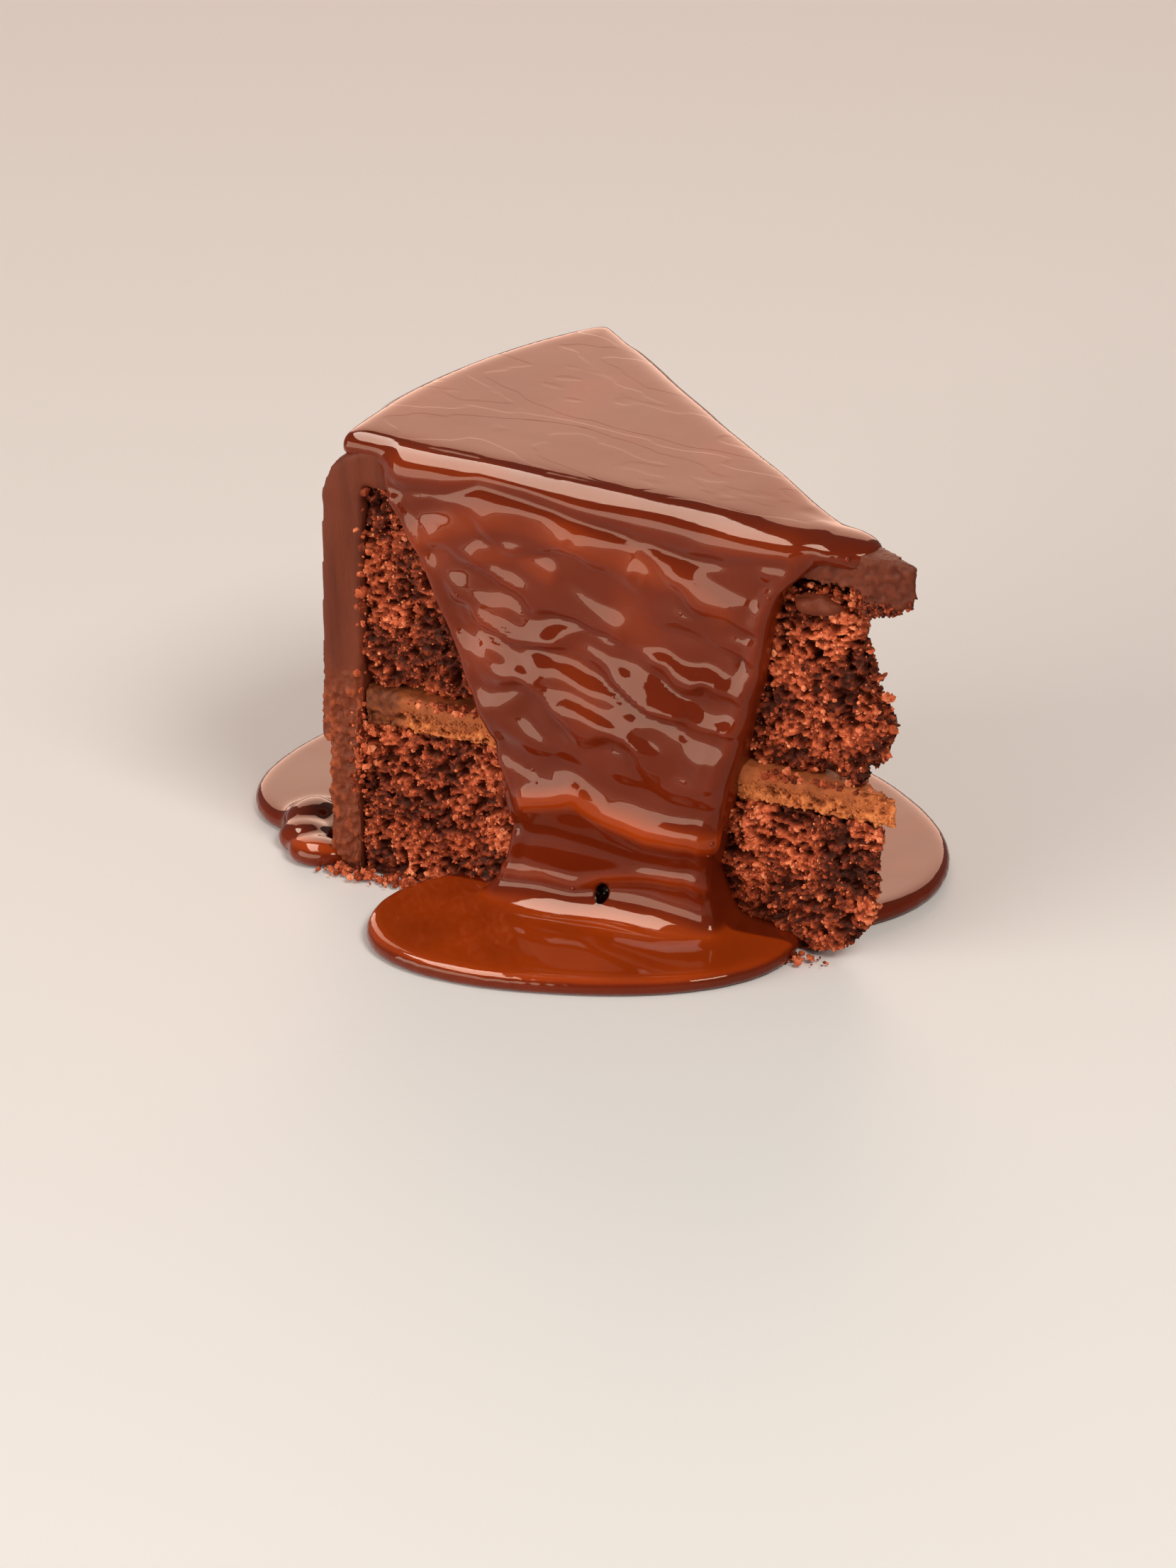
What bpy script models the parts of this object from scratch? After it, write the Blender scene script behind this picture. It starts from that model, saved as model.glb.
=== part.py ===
# One slice of a tall layered chocolate cake under a poured chocolate sauce.
# Metres, +Z up. The front cut face looks along -Y and the point of the slice is at +X.
# Everything is first made in the frame of the whole cake: the cake's axis is at X = Y = 0,
# u is the distance from that axis along a cut face, and w is the distance out of it.

import math

import bmesh
import bpy
from mathutils import Matrix, Vector, noise

MM = 0.001

# The whole cake and the cut. The back cut bends in towards the point.
CAKE_RADIUS = 130 * MM
SLICE_ANGLE = math.radians(36)
PINCH = 0.42
PINCH_REACH = 70 * MM
RIM_STEPS = 18
BACK_STEPS = 10
GAP = 0.3 * MM

# Heights of the layers, at the middle of the slice
LOWER_TOP = 32 * MM
FILLING_TOP = 39.5 * MM
UPPER_TOP = 82 * MM
FROSTING_TOP = 89.5 * MM
SAUCE_TOP = 92 * MM

# The slice leans towards its point as it rises, and its top falls towards the point and the front
LEAN = 0.09
FALL = 0.04
RISE = 0.045
MIDDLE_U = CAKE_RADIUS / 2

# Frosting
FROSTING_SIDE = 10 * MM
FROSTING_ROUND = 12 * MM
FROSTING_GRID = 4 * MM
SMEAR_DEPTH = 0.8 * MM
SIDE_TAPER = 1.3 * MM
SLAB_TIP = 2 * MM
LUMP_LOW = 76.5 * MM
LUMP_RISE = 4 * MM
LUMP_ROUGH = 1.5 * MM
TORN_HEIGHT = 27 * MM
TORN_DEPTH = 3 * MM
TORN_REACH = 30 * MM

# Crumb
CRUMB_GRID = 3.2 * MM
CRUMB_INSET = 0.5 * MM
CRUMB_BLUNT = 8 * MM
CRUMB_DEPTH = 2.4 * MM
TIP_REACH = 45 * MM
LEDGE = 2.6 * MM
LEDGE_RISE = 5 * MM
FILLING_TIP_CUT = 0.8 * MM
FILLING_RECESS = -0.4 * MM
BOW_DEPTH = 6.5 * MM
BOW_HEIGHT = 26 * MM
NOTCH_LENGTH = 19 * MM

# How far the crumb is broken back at the point, in mm: the lower layer at its foot and higher up,
# and the upper layer as (height, cut)
LOWER_TIP_FOOT = 17
LOWER_TIP_CUT = 3
UPPER_TIP_CUTS = ((39, 8), (43, 6), (46, 2), (56, 1.5), (60, 4), (65, 8.5), (74, 10), (80, 12), (90, 12))

# Sauce
SAUCE_SIDE = 3.2 * MM
SAUCE_INSIDE = 13 * MM
INSIDE_SHARE = 0.28
SAUCE_GRID = 1.3 * MM
DRAPE_GRID = 2 * MM
SAUCE_TRIANGLES = 4600
CAP_RIM = 3 * MM
CAP_INSET = 7.5 * MM
CAP_TIP_CUT = 13 * MM
CAP_FALL = 1.6 * MM
SHOULDER = 7 * MM
CORNER_TAPER = 6 * MM
CORNER_THINNING = 0.85
FOOT_SPREAD = 9 * MM
FOOT_RISE = 6 * MM
POOL_HEIGHT = 3.6 * MM
POOL_RIM = 1.7 * MM
BUBBLE_RADIUS = 1.5
RIM_SIDE = 1.7 * MM
RIM_SHOULDER = 12 * MM

# The two edges of each drape, as (u, z) in mm from the top down
FRONT_OUTER = (
    *((119, 91.6), (117, 88), (114, 83), (106, 72), (97, 53)),
    *((89, 37), (84, 18), (86, 9), (90, 3), (94, -1)),
)
FRONT_INNER = (
    *((16, 91.6), (16, 88), (19, 84), (27, 74), (31, 62)),
    *((35, 45), (38, 30), (41, 14), (39, 6), (34, -1)),
)
BACK_INNER = ((30, 91.6), (33, 84), (40, 70), (46, 50), (50, 30), (52, 12), (52, -1))
BACK_OUTER = ((117, 91.6), (119, 88), (118, 84), (110, 70), (101, 50), (96, 30), (93, 12), (93, -1))
RIM_FRONT = ((14, 91.6), (18, 84), (23, 70), (28, 50), (31, 30), (33, 12), (33, -1))
RIM_BACK = ((78, 91.6), (78, 84), (70, 70), (62, 50), (58, 30), (55, 12), (55, -1))

# Each pool's centre and half lengths in mm, and its turn in degrees
FRONT_POOL = ((-65, -7.5), (43.2, 25.2), 15.5)
BACK_POOL = ((-49.5, 43.5), (43.5, 31), -36)
RIM_POOL = ((-136, 41), (32, 24), 80)

# Folds of thick sauce at the front corner of the outside: centre and half sizes in mm
FOLDS = (
    ((-137, 7, 2), (6, 5, 3.5)),
    ((-131, 2, 2), (7, 4.5, 3)),
    ((-140, 14, 2.5), (5, 7, 4)),
)

HALF_ANGLE = SLICE_ANGLE / 2
BISECTOR = Vector((-math.cos(HALF_ANGLE), math.sin(HALF_ANGLE)))


# Small helpers


def clear_scene():
    for obj in list(bpy.data.objects):
        bpy.data.objects.remove(obj)


def make_collection(name):
    collection = bpy.data.collections.new(name)
    bpy.context.scene.collection.children.link(collection)
    return collection


def material(name, colour, roughness):
    made = bpy.data.materials.new(name)
    made.use_nodes = True
    shader = made.node_tree.nodes["Principled BSDF"]
    shader.inputs["Base Color"].default_value = (*colour, 1)
    shader.inputs["Roughness"].default_value = roughness
    shader.inputs["Metallic"].default_value = 0
    return made


def link(name, data):
    obj = bpy.data.objects.new(name, data)
    bpy.context.scene.collection.objects.link(obj)
    return obj


def bake(obj):
    """Replaces an object's curve or mesh with its evaluated mesh, welded, and drops the modifiers."""
    graph = bpy.context.evaluated_depsgraph_get()
    mesh = bpy.data.meshes.new_from_object(obj.evaluated_get(graph))
    mesh.transform(obj.matrix_world)
    weld = bmesh.new()
    weld.from_mesh(mesh)
    bmesh.ops.remove_doubles(weld, verts=weld.verts, dist=0.004 * MM)
    bmesh.ops.dissolve_degenerate(weld, edges=weld.edges, dist=0.002 * MM)
    bmesh.ops.recalc_face_normals(weld, faces=weld.faces)
    weld.to_mesh(mesh)
    weld.free()
    made = link(obj.name + "_baked", mesh)
    name = obj.name
    bpy.data.objects.remove(obj)
    made.name = name
    return made


def faces_outwards(obj):
    turn = bmesh.new()
    turn.from_mesh(obj.data)
    bmesh.ops.recalc_face_normals(turn, faces=turn.faces)
    turn.to_mesh(obj.data)
    turn.free()
    return obj


def modified(obj, kind, **settings):
    modifier = obj.modifiers.new(kind.title(), kind)
    for key, value in settings.items():
        setattr(modifier, key, value)
    return bake(obj)


def boolean(obj, other, operation, solver="EXACT"):
    """Cuts, trims or joins obj by other, which is used up."""
    made = modified(obj, "BOOLEAN", object=other, operation=operation, solver=solver)
    bpy.data.objects.remove(other)
    return made


def joined(name, pieces):
    """Several closed meshes as one object, still overlapping."""
    merge = bmesh.new()
    for piece in pieces:
        merge.from_mesh(piece.data)
        bpy.data.objects.remove(piece)
    mesh = bpy.data.meshes.new(name)
    merge.to_mesh(mesh)
    merge.free()
    return link(name, mesh)


def move_points(obj, place):
    """Moves every vertex to place(position, normal)."""
    normals = [vertex.normal.copy() for vertex in obj.data.vertices]
    for vertex, normal in zip(obj.data.vertices, normals):
        vertex.co = place(vertex.co.copy(), normal)
    return faces_outwards(obj)


def prism(name, outline, low, high, rim=0.0):
    """A flat outline raised from low to high, with its rims rounded by rim."""
    curve = bpy.data.curves.new(name, "CURVE")
    curve.dimensions = "2D"
    curve.fill_mode = "BOTH"
    spline = curve.splines.new("POLY")
    spline.points.add(len(outline) - 1)
    for point, (x, y) in zip(spline.points, outline):
        point.co = (x, y, 0, 1)
    spline.use_cyclic_u = True
    curve.extrude = (high - low) / 2 - rim
    curve.bevel_depth = rim
    curve.bevel_resolution = 3
    obj = link(name, curve)
    obj.location.z = (low + high) / 2
    bpy.context.view_layer.update()
    return bake(obj)


def ball(name, centre, radii, segments=16):
    """An ellipsoid with its centre and half sizes in mm."""
    shape = bmesh.new()
    place = Matrix.Diagonal((MM, MM, MM, 1)) @ Matrix.Translation(centre) @ Matrix.Diagonal((*radii, 1))
    bmesh.ops.create_uvsphere(shape, u_segments=segments, v_segments=segments // 2, radius=1, matrix=place)
    mesh = bpy.data.meshes.new(name)
    shape.to_mesh(mesh)
    shape.free()
    return link(name, mesh)


# The wedge and its two cut faces


def pinched(point):
    """Bends the back cut: whatever lies behind the front cut face is drawn towards it near the point."""
    if point.y > 0:
        point.y *= 1 - PINCH * math.exp(min(point.x, 0) / PINCH_REACH)
    return point


def wedge(radius, spread=0.0, tip_cut=0.0):
    """The slice from above: its cut faces moved out by spread, and its point cut off at tip_cut."""
    apex = -BISECTOR * (spread / math.sin(HALF_ANGLE))
    over = math.asin(spread / radius)
    front = apex + Vector((-tip_cut, 0))
    back = apex + Vector((-math.cos(SLICE_ANGLE), math.sin(SLICE_ANGLE))) * tip_cut
    angles = [-over + (SLICE_ANGLE + 2 * over) * i / RIM_STEPS for i in range(RIM_STEPS + 1)]
    rim = [Vector((-radius * math.cos(a), radius * math.sin(a))) for a in angles]
    along_back = [rim[-1].lerp(back, (i + 1) / BACK_STEPS) for i in range(BACK_STEPS)]
    return [pinched(point) for point in (front, *rim, *along_back)]


def on_front(u, z, w):
    return Vector((-u, -w, z))


def on_back(u, z, w):
    along = Vector((-math.cos(SLICE_ANGLE), math.sin(SLICE_ANGLE), 0))
    out = Vector((math.sin(SLICE_ANGLE), math.cos(SLICE_ANGLE), 0))
    return pinched(along * u + out * w + Vector((0, 0, z)))


def on_rim(u, z, w):
    """Here u is the distance round the outside of the cake, from the front cut face."""
    angle = u / CAKE_RADIUS
    radius = CAKE_RADIUS + w
    return pinched(Vector((-radius * math.cos(angle), radius * math.sin(angle), z)))


def smooth_step(value, start, end):
    share = min(max((value - start) / (end - start), 0), 1)
    return share * share * (3 - 2 * share)


def bow(point, _normal=None):
    """The front cut face is hollow near its foot, between its two ends."""
    u = -point.x
    across = smooth_step(u, 14 * MM, 42 * MM) * (1 - smooth_step(u, 58 * MM, 92 * MM))
    up = 1 - smooth_step(point.z, 0, BOW_HEIGHT)
    near = 1 - smooth_step(point.y, 0, 20 * MM)
    return point + Vector((0, BOW_DEPTH * across * up * near, 0))


def settle(point, _normal=None):
    """The lean and the fall of the whole slice. The foot stays flat at Z = 0."""
    share = 1 - FALL * (point.x + MIDDLE_U) / MIDDLE_U + RISE * max(point.y, 0) / MIDDLE_U
    return Vector((point.x + LEAN * point.z, point.y, point.z * share))


# Sponge and filling


def lumps(point, size, seed):
    """Noise from 0 to 1 whose lumps measure about size."""
    return 0.5 + 0.5 * noise.noise(point / size + Vector((seed, 2 * seed, 3 * seed)))


def crumb_depth(point, seed):
    return CRUMB_DEPTH * (lumps(point, 11 * MM, seed) + lumps(point, 4.5 * MM, seed + 7)) / 2


def erode_tip(point, cut):
    """Draws the point of the wedge back along its own rays, so that the cut faces stay flat."""
    along = point.xy.dot(BISECTOR)
    if along <= 0 or along >= TIP_REACH:
        return point
    share = (along - CRUMB_BLUNT) / (TIP_REACH - CRUMB_BLUNT)
    scale = (cut + share * (TIP_REACH - cut)) / along
    return Vector((point.x * scale, point.y * scale, point.z))


def crumb_layer(name, low, high, tip_cut, recess, seed):
    """One layer of crumb: rough on the cut faces, flat above and below, round against the frosting."""
    radius = CAKE_RADIUS - FROSTING_SIDE - GAP
    spare = 4 * MM
    blank = prism(name, wedge(radius + spare, -CRUMB_INSET, CRUMB_BLUNT), low - spare, high + spare)
    blank = modified(blank, "REMESH", mode="VOXEL", voxel_size=CRUMB_GRID)

    def weather(point, normal):
        if abs(normal.z) < 0.8:
            flat = Vector((normal.x, normal.y, 0)).normalized()
            point = point - flat * (crumb_depth(point, seed) + recess(point.z))
        return bow(erode_tip(point, tip_cut(point.z)))

    move_points(blank, weather)
    room = prism(name + "_room", wedge(radius, 12 * MM), low, high)
    # The blank folds over itself above and below this room, which only this solver takes
    return boolean(blank, room, "INTERSECT", "MANIFOLD")


def lower_sponge():
    def tip_cut(z):
        return MM * (LOWER_TIP_CUT + LOWER_TIP_FOOT * math.exp(-max(z, 0) / (5 * MM)))

    return crumb_layer("sponge_lower", 0, LOWER_TOP - GAP, tip_cut, lambda z: 0, 3)


def filling():
    """It stands out a little from the crumb above and below it, and its tip reaches furthest."""
    top = FILLING_TOP - GAP
    return crumb_layer("filling", LOWER_TOP, top, lambda z: FILLING_TIP_CUT, lambda z: FILLING_RECESS, 11)


def upper_sponge():
    def tip_cut(z):
        height = z / MM
        for (low, cut_low), (high, cut_high) in zip(UPPER_TIP_CUTS, UPPER_TIP_CUTS[1:]):
            if height <= high:
                share = max((height - low) / (high - low), 0)
                return (cut_low + (cut_high - cut_low) * share) * MM
        return UPPER_TIP_CUTS[-1][1] * MM

    def recess(z):
        return LEDGE * math.exp(-max(z - FILLING_TOP, 0) / LEDGE_RISE)

    layer = crumb_layer("sponge_upper", FILLING_TOP, UPPER_TOP - GAP, tip_cut, recess, 5)
    notch = prism("notch", wedge(NOTCH_LENGTH, 12 * MM), LUMP_LOW - GAP, UPPER_TOP + 5 * MM)
    layer = boolean(layer, notch, "DIFFERENCE", "MANIFOLD")
    hollow = ball("hollow", (-24, 3, UPPER_TOP / MM), (9, 13, 4.5))
    return boolean(layer, hollow, "DIFFERENCE", "MANIFOLD")


def gridded(obj, rows, columns):
    """Cuts an object's faces by level planes at the heights in rows and by upright ones in columns."""
    shape = bmesh.new()
    shape.from_mesh(obj.data)
    planes = [((0, 0, z), (0, 0, 1)) for z in rows]
    planes += [((-u, 0, 0), (1, 0, 0)) for u in columns]
    for place, normal in planes:
        everything = [*shape.verts, *shape.edges, *shape.faces]
        bmesh.ops.bisect_plane(shape, geom=everything, plane_co=place, plane_no=normal, dist=0.001 * MM)
    shape.to_mesh(obj.data)
    shape.free()
    return obj


# Frosting


def cake_block(name, grow, foot=0.0):
    """The whole slice without its sauce, with a round top edge at the outside of the cake."""
    top = FROSTING_TOP + grow
    radius = CAKE_RADIUS + grow
    block = prism(name, wedge(radius, grow, SLAB_TIP), foot, top)
    shape = bmesh.new()
    shape.from_mesh(block.data)
    limit = 0.93 * radius

    def on_top_edge(vertex):
        return vertex.co.z > top - MM and vertex.co.xy.length > limit

    edges = [e for e in shape.edges if all(map(on_top_edge, e.verts)) and len(e.link_faces) == 2]
    edges = [e for e in edges if abs(e.calc_face_angle(0)) > 1]
    bmesh.ops.bevel(shape, geom=edges, offset=FROSTING_ROUND, segments=6, profile=0.5, affect="EDGES")
    shape.to_mesh(block.data)
    shape.free()
    return block


def torn_depth(point):
    """The skin of the frosting is torn off near its foot, at the front corner of the outside."""
    around = CAKE_RADIUS * math.atan2(point.y, -point.x)
    edge = TORN_HEIGHT * (1 - (max(around, 0) / TORN_REACH) ** 3)
    edge += 2.5 * MM * noise.noise(Vector((around / (4 * MM), 4.2, 0)))
    return TORN_DEPTH * smooth_step(edge - point.z, 0, 2 * MM)


def frosting():
    """One shell: the side of the cake and the slab that covers its top, out to the point."""
    rows = [FROSTING_GRID * i for i in range(1, 21)]
    columns = [4 * MM, 8 * MM, 12 * MM, 16 * MM, 124 * MM, 127 * MM]
    blank = gridded(cake_block("frosting", 0), rows, columns)

    def smear(point, normal):
        level = Vector((normal.x, normal.y, 0))
        taper = SIDE_TAPER * point.z / FROSTING_TOP if normal.x < -0.2 else 0
        if point.z > FROSTING_TOP - FROSTING_ROUND:
            return point - level * taper
        depth = SMEAR_DEPTH * lumps(Vector((point.x, point.y, point.z / 5)), 7 * MM, 9)
        if normal.x < -0.6:
            depth += torn_depth(point)
        return point - level.normalized() * depth - level * taper

    move_points(blank, smear)
    radius = CAKE_RADIUS - FROSTING_SIDE
    room = prism("crumb_room", wedge(radius, 14 * MM), -5 * MM, LUMP_LOW)
    room = gridded(room, [], [u * MM for u in range(-1, 18, 3)])

    def under_tip(point, _normal):
        """The broken underside of the lump at the point."""
        if point.z > 0:
            point.z += LUMP_RISE * smooth_step(point.x, -9 * MM, MM)
            point.z += LUMP_ROUGH * lumps(point, 5 * MM, 4) * smooth_step(point.x, -14 * MM, -8 * MM)
        return point

    move_points(room, under_tip)
    upper_room = prism("upper_room", wedge(radius, 14 * MM, 62 * MM), LUMP_LOW - MM, UPPER_TOP)
    blank = boolean(blank, upper_room, "DIFFERENCE", "MANIFOLD")
    return boolean(blank, room, "DIFFERENCE", "MANIFOLD")


# Sauce


def edge_at(edge, z):
    """u of a sheet's edge at the height z, both in metres."""
    for (u_high, high), (u_low, low) in zip(edge, edge[1:]):
        if z >= low * MM:
            share = min((z / MM - low) / (high - low), 1)
            return (u_low + (u_high - u_low) * share) * MM
    return edge[-1][0] * MM


def drape(name, near, far, place, side=SAUCE_SIDE, round_over=SHOULDER):
    """A sheet of sauce down one side, between two edges given as (u, z) in mm from the top down.

    Its top rounds over into the cap and thins towards its corners, and its foot spreads into a pool."""
    outline = [(u * MM, z * MM) for u, z in (*near, *reversed(far))]
    sheet = prism(name, outline, -SAUCE_INSIDE, 0)
    sheet = modified(sheet, "REMESH", mode="VOXEL", voxel_size=DRAPE_GRID)

    def reach(u, z):
        swell = 0.7 + 0.6 * lumps(Vector((u, z, 0)), 16 * MM, 2)
        low, high = sorted((edge_at(near, z), edge_at(far, z)))
        at_edge = 1 - smooth_step(min(u - low, high - u), 0, CORNER_TAPER)
        at_top = smooth_step(z, SAUCE_TOP - 1.6 * round_over, SAUCE_TOP - 0.6 * round_over)
        swell *= 1 - CORNER_THINNING * at_edge * at_top
        foot = FOOT_SPREAD * math.exp(-max(z, 0) / FOOT_RISE)
        over = min(max(z - (SAUCE_TOP - round_over), 0), round_over)
        shoulder = round_over - math.sqrt(round_over ** 2 - over ** 2)
        return side * swell + foot - shoulder

    def wrap(point, _normal):
        inside = SAUCE_INSIDE if place == on_rim else min(SAUCE_INSIDE, INSIDE_SHARE * point.x)
        share = (point.z + SAUCE_INSIDE) / SAUCE_INSIDE
        return place(point.x, point.y, share * (reach(point.x, point.y) + inside) - inside)

    return move_points(sheet, wrap)


def pool(name, centre, reach, turn):
    """A round-edged puddle: a superellipse of half lengths reach, turned by turn degrees."""
    turned = Matrix.Rotation(math.radians(turn), 2)
    outline = []
    for i in range(48):
        angle = 2 * math.pi * i / 48
        power = 2 / 2.25
        along = math.copysign(abs(math.cos(angle)) ** power, math.cos(angle)) * (reach[0] * MM - POOL_RIM)
        across = math.copysign(abs(math.sin(angle)) ** power, math.sin(angle)) * (reach[1] * MM - POOL_RIM)
        outline.append(Vector(centre) * MM + turned @ Vector((along, across)))
    return prism(name, outline, -0.4 * MM, POOL_HEIGHT, POOL_RIM)


def sauce_blank():
    """The cap, the drapes and the pools, each of them running on a little way into the cake."""
    cap_outline = wedge(CAKE_RADIUS - CAP_INSET, -CAP_RIM, CAP_TIP_CUT)
    cap = prism("cap", cap_outline, SAUCE_TOP - 2 * CAP_RIM, SAUCE_TOP, CAP_RIM - 0.1 * MM)
    cap = gridded(cap, [], [u * MM for u in range(20, 44, 3)])
    move_points(cap, lambda p, n: p - Vector((0, 0, CAP_FALL * smooth_step(p.x, -42 * MM, -18 * MM))))
    nose = ball("nose", (-20.5, 3.4, 87.4), (10, 5.4, 3.4))
    drapes = [
        drape("front_drape", FRONT_OUTER, FRONT_INNER, on_front),
        drape("back_drape", BACK_INNER, BACK_OUTER, on_back),
        drape("rim_drape", RIM_FRONT, RIM_BACK, on_rim, RIM_SIDE, RIM_SHOULDER),
    ]
    pools = [
        pool("front_pool", *FRONT_POOL),
        pool("back_pool", *BACK_POOL),
        pool("rim_pool", *RIM_POOL),
    ]
    folds = [ball(f"fold_{i}", *fold) for i, fold in enumerate(FOLDS)]
    return joined("sauce", [cap, nose, *drapes, *pools, *folds])


def sauce():
    """The sauce in one piece: the cap, the sheets that run down three sides and the pools at their feet."""
    blank = modified(sauce_blank(), "REMESH", mode="VOXEL", voxel_size=SAUCE_GRID)
    blank = modified(blank, "SMOOTH", factor=0.5, iterations=10)
    share = SAUCE_TRIANGLES / (2 * len(blank.data.polygons))
    blank = modified(blank, "TRIANGULATE")
    blank = modified(blank, "DECIMATE", ratio=share)
    rows = [z * MM for z in range(3, 28, 4)]
    columns = [u * MM for u in range(14, 108, 7)]
    cake = gridded(cake_block("cake_room", GAP, -5 * MM), rows, columns)
    move_points(cake, bow)
    blank = boolean(blank, cake, "DIFFERENCE")
    wide = 3 * CAKE_RADIUS
    below = prism("below", [(-wide, -wide), (wide, -wide), (wide, wide), (-wide, wide)], -20 * MM, 0)
    blank = boolean(blank, below, "DIFFERENCE")
    bubble = ball("bubble", (-63, -5.5, 8), (BUBBLE_RADIUS, 3, 1.3 * BUBBLE_RADIUS), 12)
    return boolean(blank, bubble, "DIFFERENCE")


def finish(obj, look, collection):
    move_points(obj, settle)
    obj.data.materials.clear()
    obj.data.materials.append(look)
    obj.data.shade_smooth()
    obj.data.set_sharp_from_angle(angle=math.radians(40))
    bpy.context.scene.collection.objects.unlink(obj)
    collection.objects.link(obj)


def centre_on_foot(objects):
    """Puts the middle of the whole slice's foot at the origin."""
    corners = [vertex.co for obj in objects for vertex in obj.data.vertices]
    low = Vector([min(c[i] for c in corners) for i in range(3)])
    high = Vector([max(c[i] for c in corners) for i in range(3)])
    shift = Vector(((low.x + high.x) / 2, (low.y + high.y) / 2, low.z))
    for obj in objects:
        obj.data.transform(Matrix.Translation(-shift))


def main():
    clear_scene()
    slice_parts = make_collection("chocolate_cake_slice")
    crumb = material("crumb", (0.075, 0.022, 0.010), 0.9)
    cream = material("filling", (0.20, 0.085, 0.035), 0.7)
    icing = material("frosting", (0.085, 0.033, 0.020), 0.55)
    glaze = material("sauce", (0.16, 0.035, 0.010), 0.12)
    made = [
        (lower_sponge(), crumb),
        (filling(), cream),
        (upper_sponge(), crumb),
        (frosting(), icing),
        (sauce(), glaze),
    ]
    for obj, look in made:
        finish(obj, look, slice_parts)
    centre_on_foot([obj for obj, _ in made])


main()
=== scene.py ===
# The looks of one slice of layered chocolate cake under poured chocolate sauce.
# Metres, +Z up. Shapes are worked out in the frame of the whole cake, as in the part's source: the
# cake's axis is at X = Y = 0, u is the distance from it along a cut face, w the distance out of it.

import math
import random

import bmesh
import bpy
from mathutils import Euler, Matrix, Vector, noise
from mathutils.bvhtree import BVHTree


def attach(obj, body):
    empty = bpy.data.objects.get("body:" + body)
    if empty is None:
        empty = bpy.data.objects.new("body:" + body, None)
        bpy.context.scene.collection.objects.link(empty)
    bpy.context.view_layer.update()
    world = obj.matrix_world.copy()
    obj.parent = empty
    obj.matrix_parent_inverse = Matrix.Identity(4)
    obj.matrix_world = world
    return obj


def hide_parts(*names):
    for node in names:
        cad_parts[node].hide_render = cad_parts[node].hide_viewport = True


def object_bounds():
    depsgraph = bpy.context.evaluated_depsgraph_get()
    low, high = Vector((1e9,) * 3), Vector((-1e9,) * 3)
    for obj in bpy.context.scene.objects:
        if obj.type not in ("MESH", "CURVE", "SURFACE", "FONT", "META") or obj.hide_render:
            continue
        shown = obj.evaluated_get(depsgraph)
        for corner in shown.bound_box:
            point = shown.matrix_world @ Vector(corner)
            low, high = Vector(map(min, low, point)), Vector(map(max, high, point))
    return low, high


MM = 0.001

# The wedge, its layers, its lean and its fall, as in the part's source
CAKE_RADIUS = 130 * MM
SLICE_ANGLE = math.radians(36)
HALF_ANGLE = SLICE_ANGLE / 2
PINCH = 0.42
PINCH_REACH = 70 * MM
RIM_STEPS = 36
BACK_STEPS = 20
LEAN = 0.09
FALL = 0.04
RISE = 0.045
LEAN_ROUNDS = 4
MIDDLE_U = CAKE_RADIUS / 2
CENTRE = Vector((-76.773, 22.783, 0)) * MM
LOWER_TOP = 32 * MM
UPPER_TOP = 82 * MM
TORN_HEIGHT = 27 * MM
TORN_REACH = 30 * MM
BISECTOR = Vector((-math.cos(HALF_ANGLE), math.sin(HALF_ANGLE)))

# The sauce's forms: those of the part's source, with rounder corners and feet and a higher nose
SAUCE_TOP = 92 * MM
SAUCE_SIDE = 3.2 * MM
SAUCE_INSIDE = 13 * MM
INSIDE_SHARE = 0.28
THINNEST = 0.7
SWELL = 0.6
SWELL_SIZE = 16 * MM
CAP_RIM = 3 * MM
CAP_UPRIGHT = 0.1 * MM
CAP_INSET = 7.5 * MM
CAP_TIP_CUT = 6 * MM
CAP_FALL = 1.1 * MM
CAP_FALL_REACH = (-42 * MM, -18 * MM)
CAP_NARROWING = 0.12
CAP_NARROWING_REACH = (-42 * MM, -20 * MM)
CAP_MIDDLE = 3 * MM
NOSE = ((-20, 3.8, 88.6), (9.5, 6.2, 2.9))
SHOULDER = 7 * MM
SHOULDER_FADE = (1.6, 0.6)
CORNER_TAPER = 6 * MM
CORNER_THINNING = 0.95
BACK_TAPER = 40 * MM
RIM_SIDE = 1.7 * MM
RIM_SHOULDER = 12 * MM
FOOT_ROUND = 8 * MM
FOOT_AT_EDGE = 0.3
FOOT_EDGE_REACH = (-2 * MM, 12 * MM)
POOL_HEIGHT = 3.6 * MM
POOL_RIM = 1.7 * MM
POOL_FOOT = -0.4 * MM
POOL_POINTS = 96
POOL_SQUARENESS = 2.25
FRONT_OUTER = (
    *((119, 91.6), (117, 88), (114, 83), (106, 72), (97, 53)),
    *((89, 37), (84, 18), (86, 9), (90, 3), (94, -1)),
)
FRONT_INNER = (
    *((19.5, 91.6), (20, 88), (23.5, 84), (28.5, 79), (30, 74), (31.5, 62)),
    *((35, 45), (38, 30), (41, 14), (39, 6), (34, -1)),
)
BACK_INNER = ((30, 91.6), (33, 84), (40, 70), (46, 50), (50, 30), (52, 12), (52, -1))
BACK_OUTER = ((117, 91.6), (119, 88), (118, 84), (110, 70), (101, 50), (96, 30), (93, 12), (93, -1))
RIM_FRONT = ((14, 91.6), (18, 84), (23, 70), (28, 50), (31, 30), (33, 12), (33, -1))
RIM_BACK = ((78, 91.6), (78, 84), (70, 70), (62, 50), (58, 30), (55, 12), (55, -1))
FRONT_POOL = ((-65, -7.5), (43.2, 25.2), 15.5)
BACK_POOL = ((-49.5, 43.5), (43.5, 31), -36)
RIM_POOL = ((-136, 41), (32, 24), 80)
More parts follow.
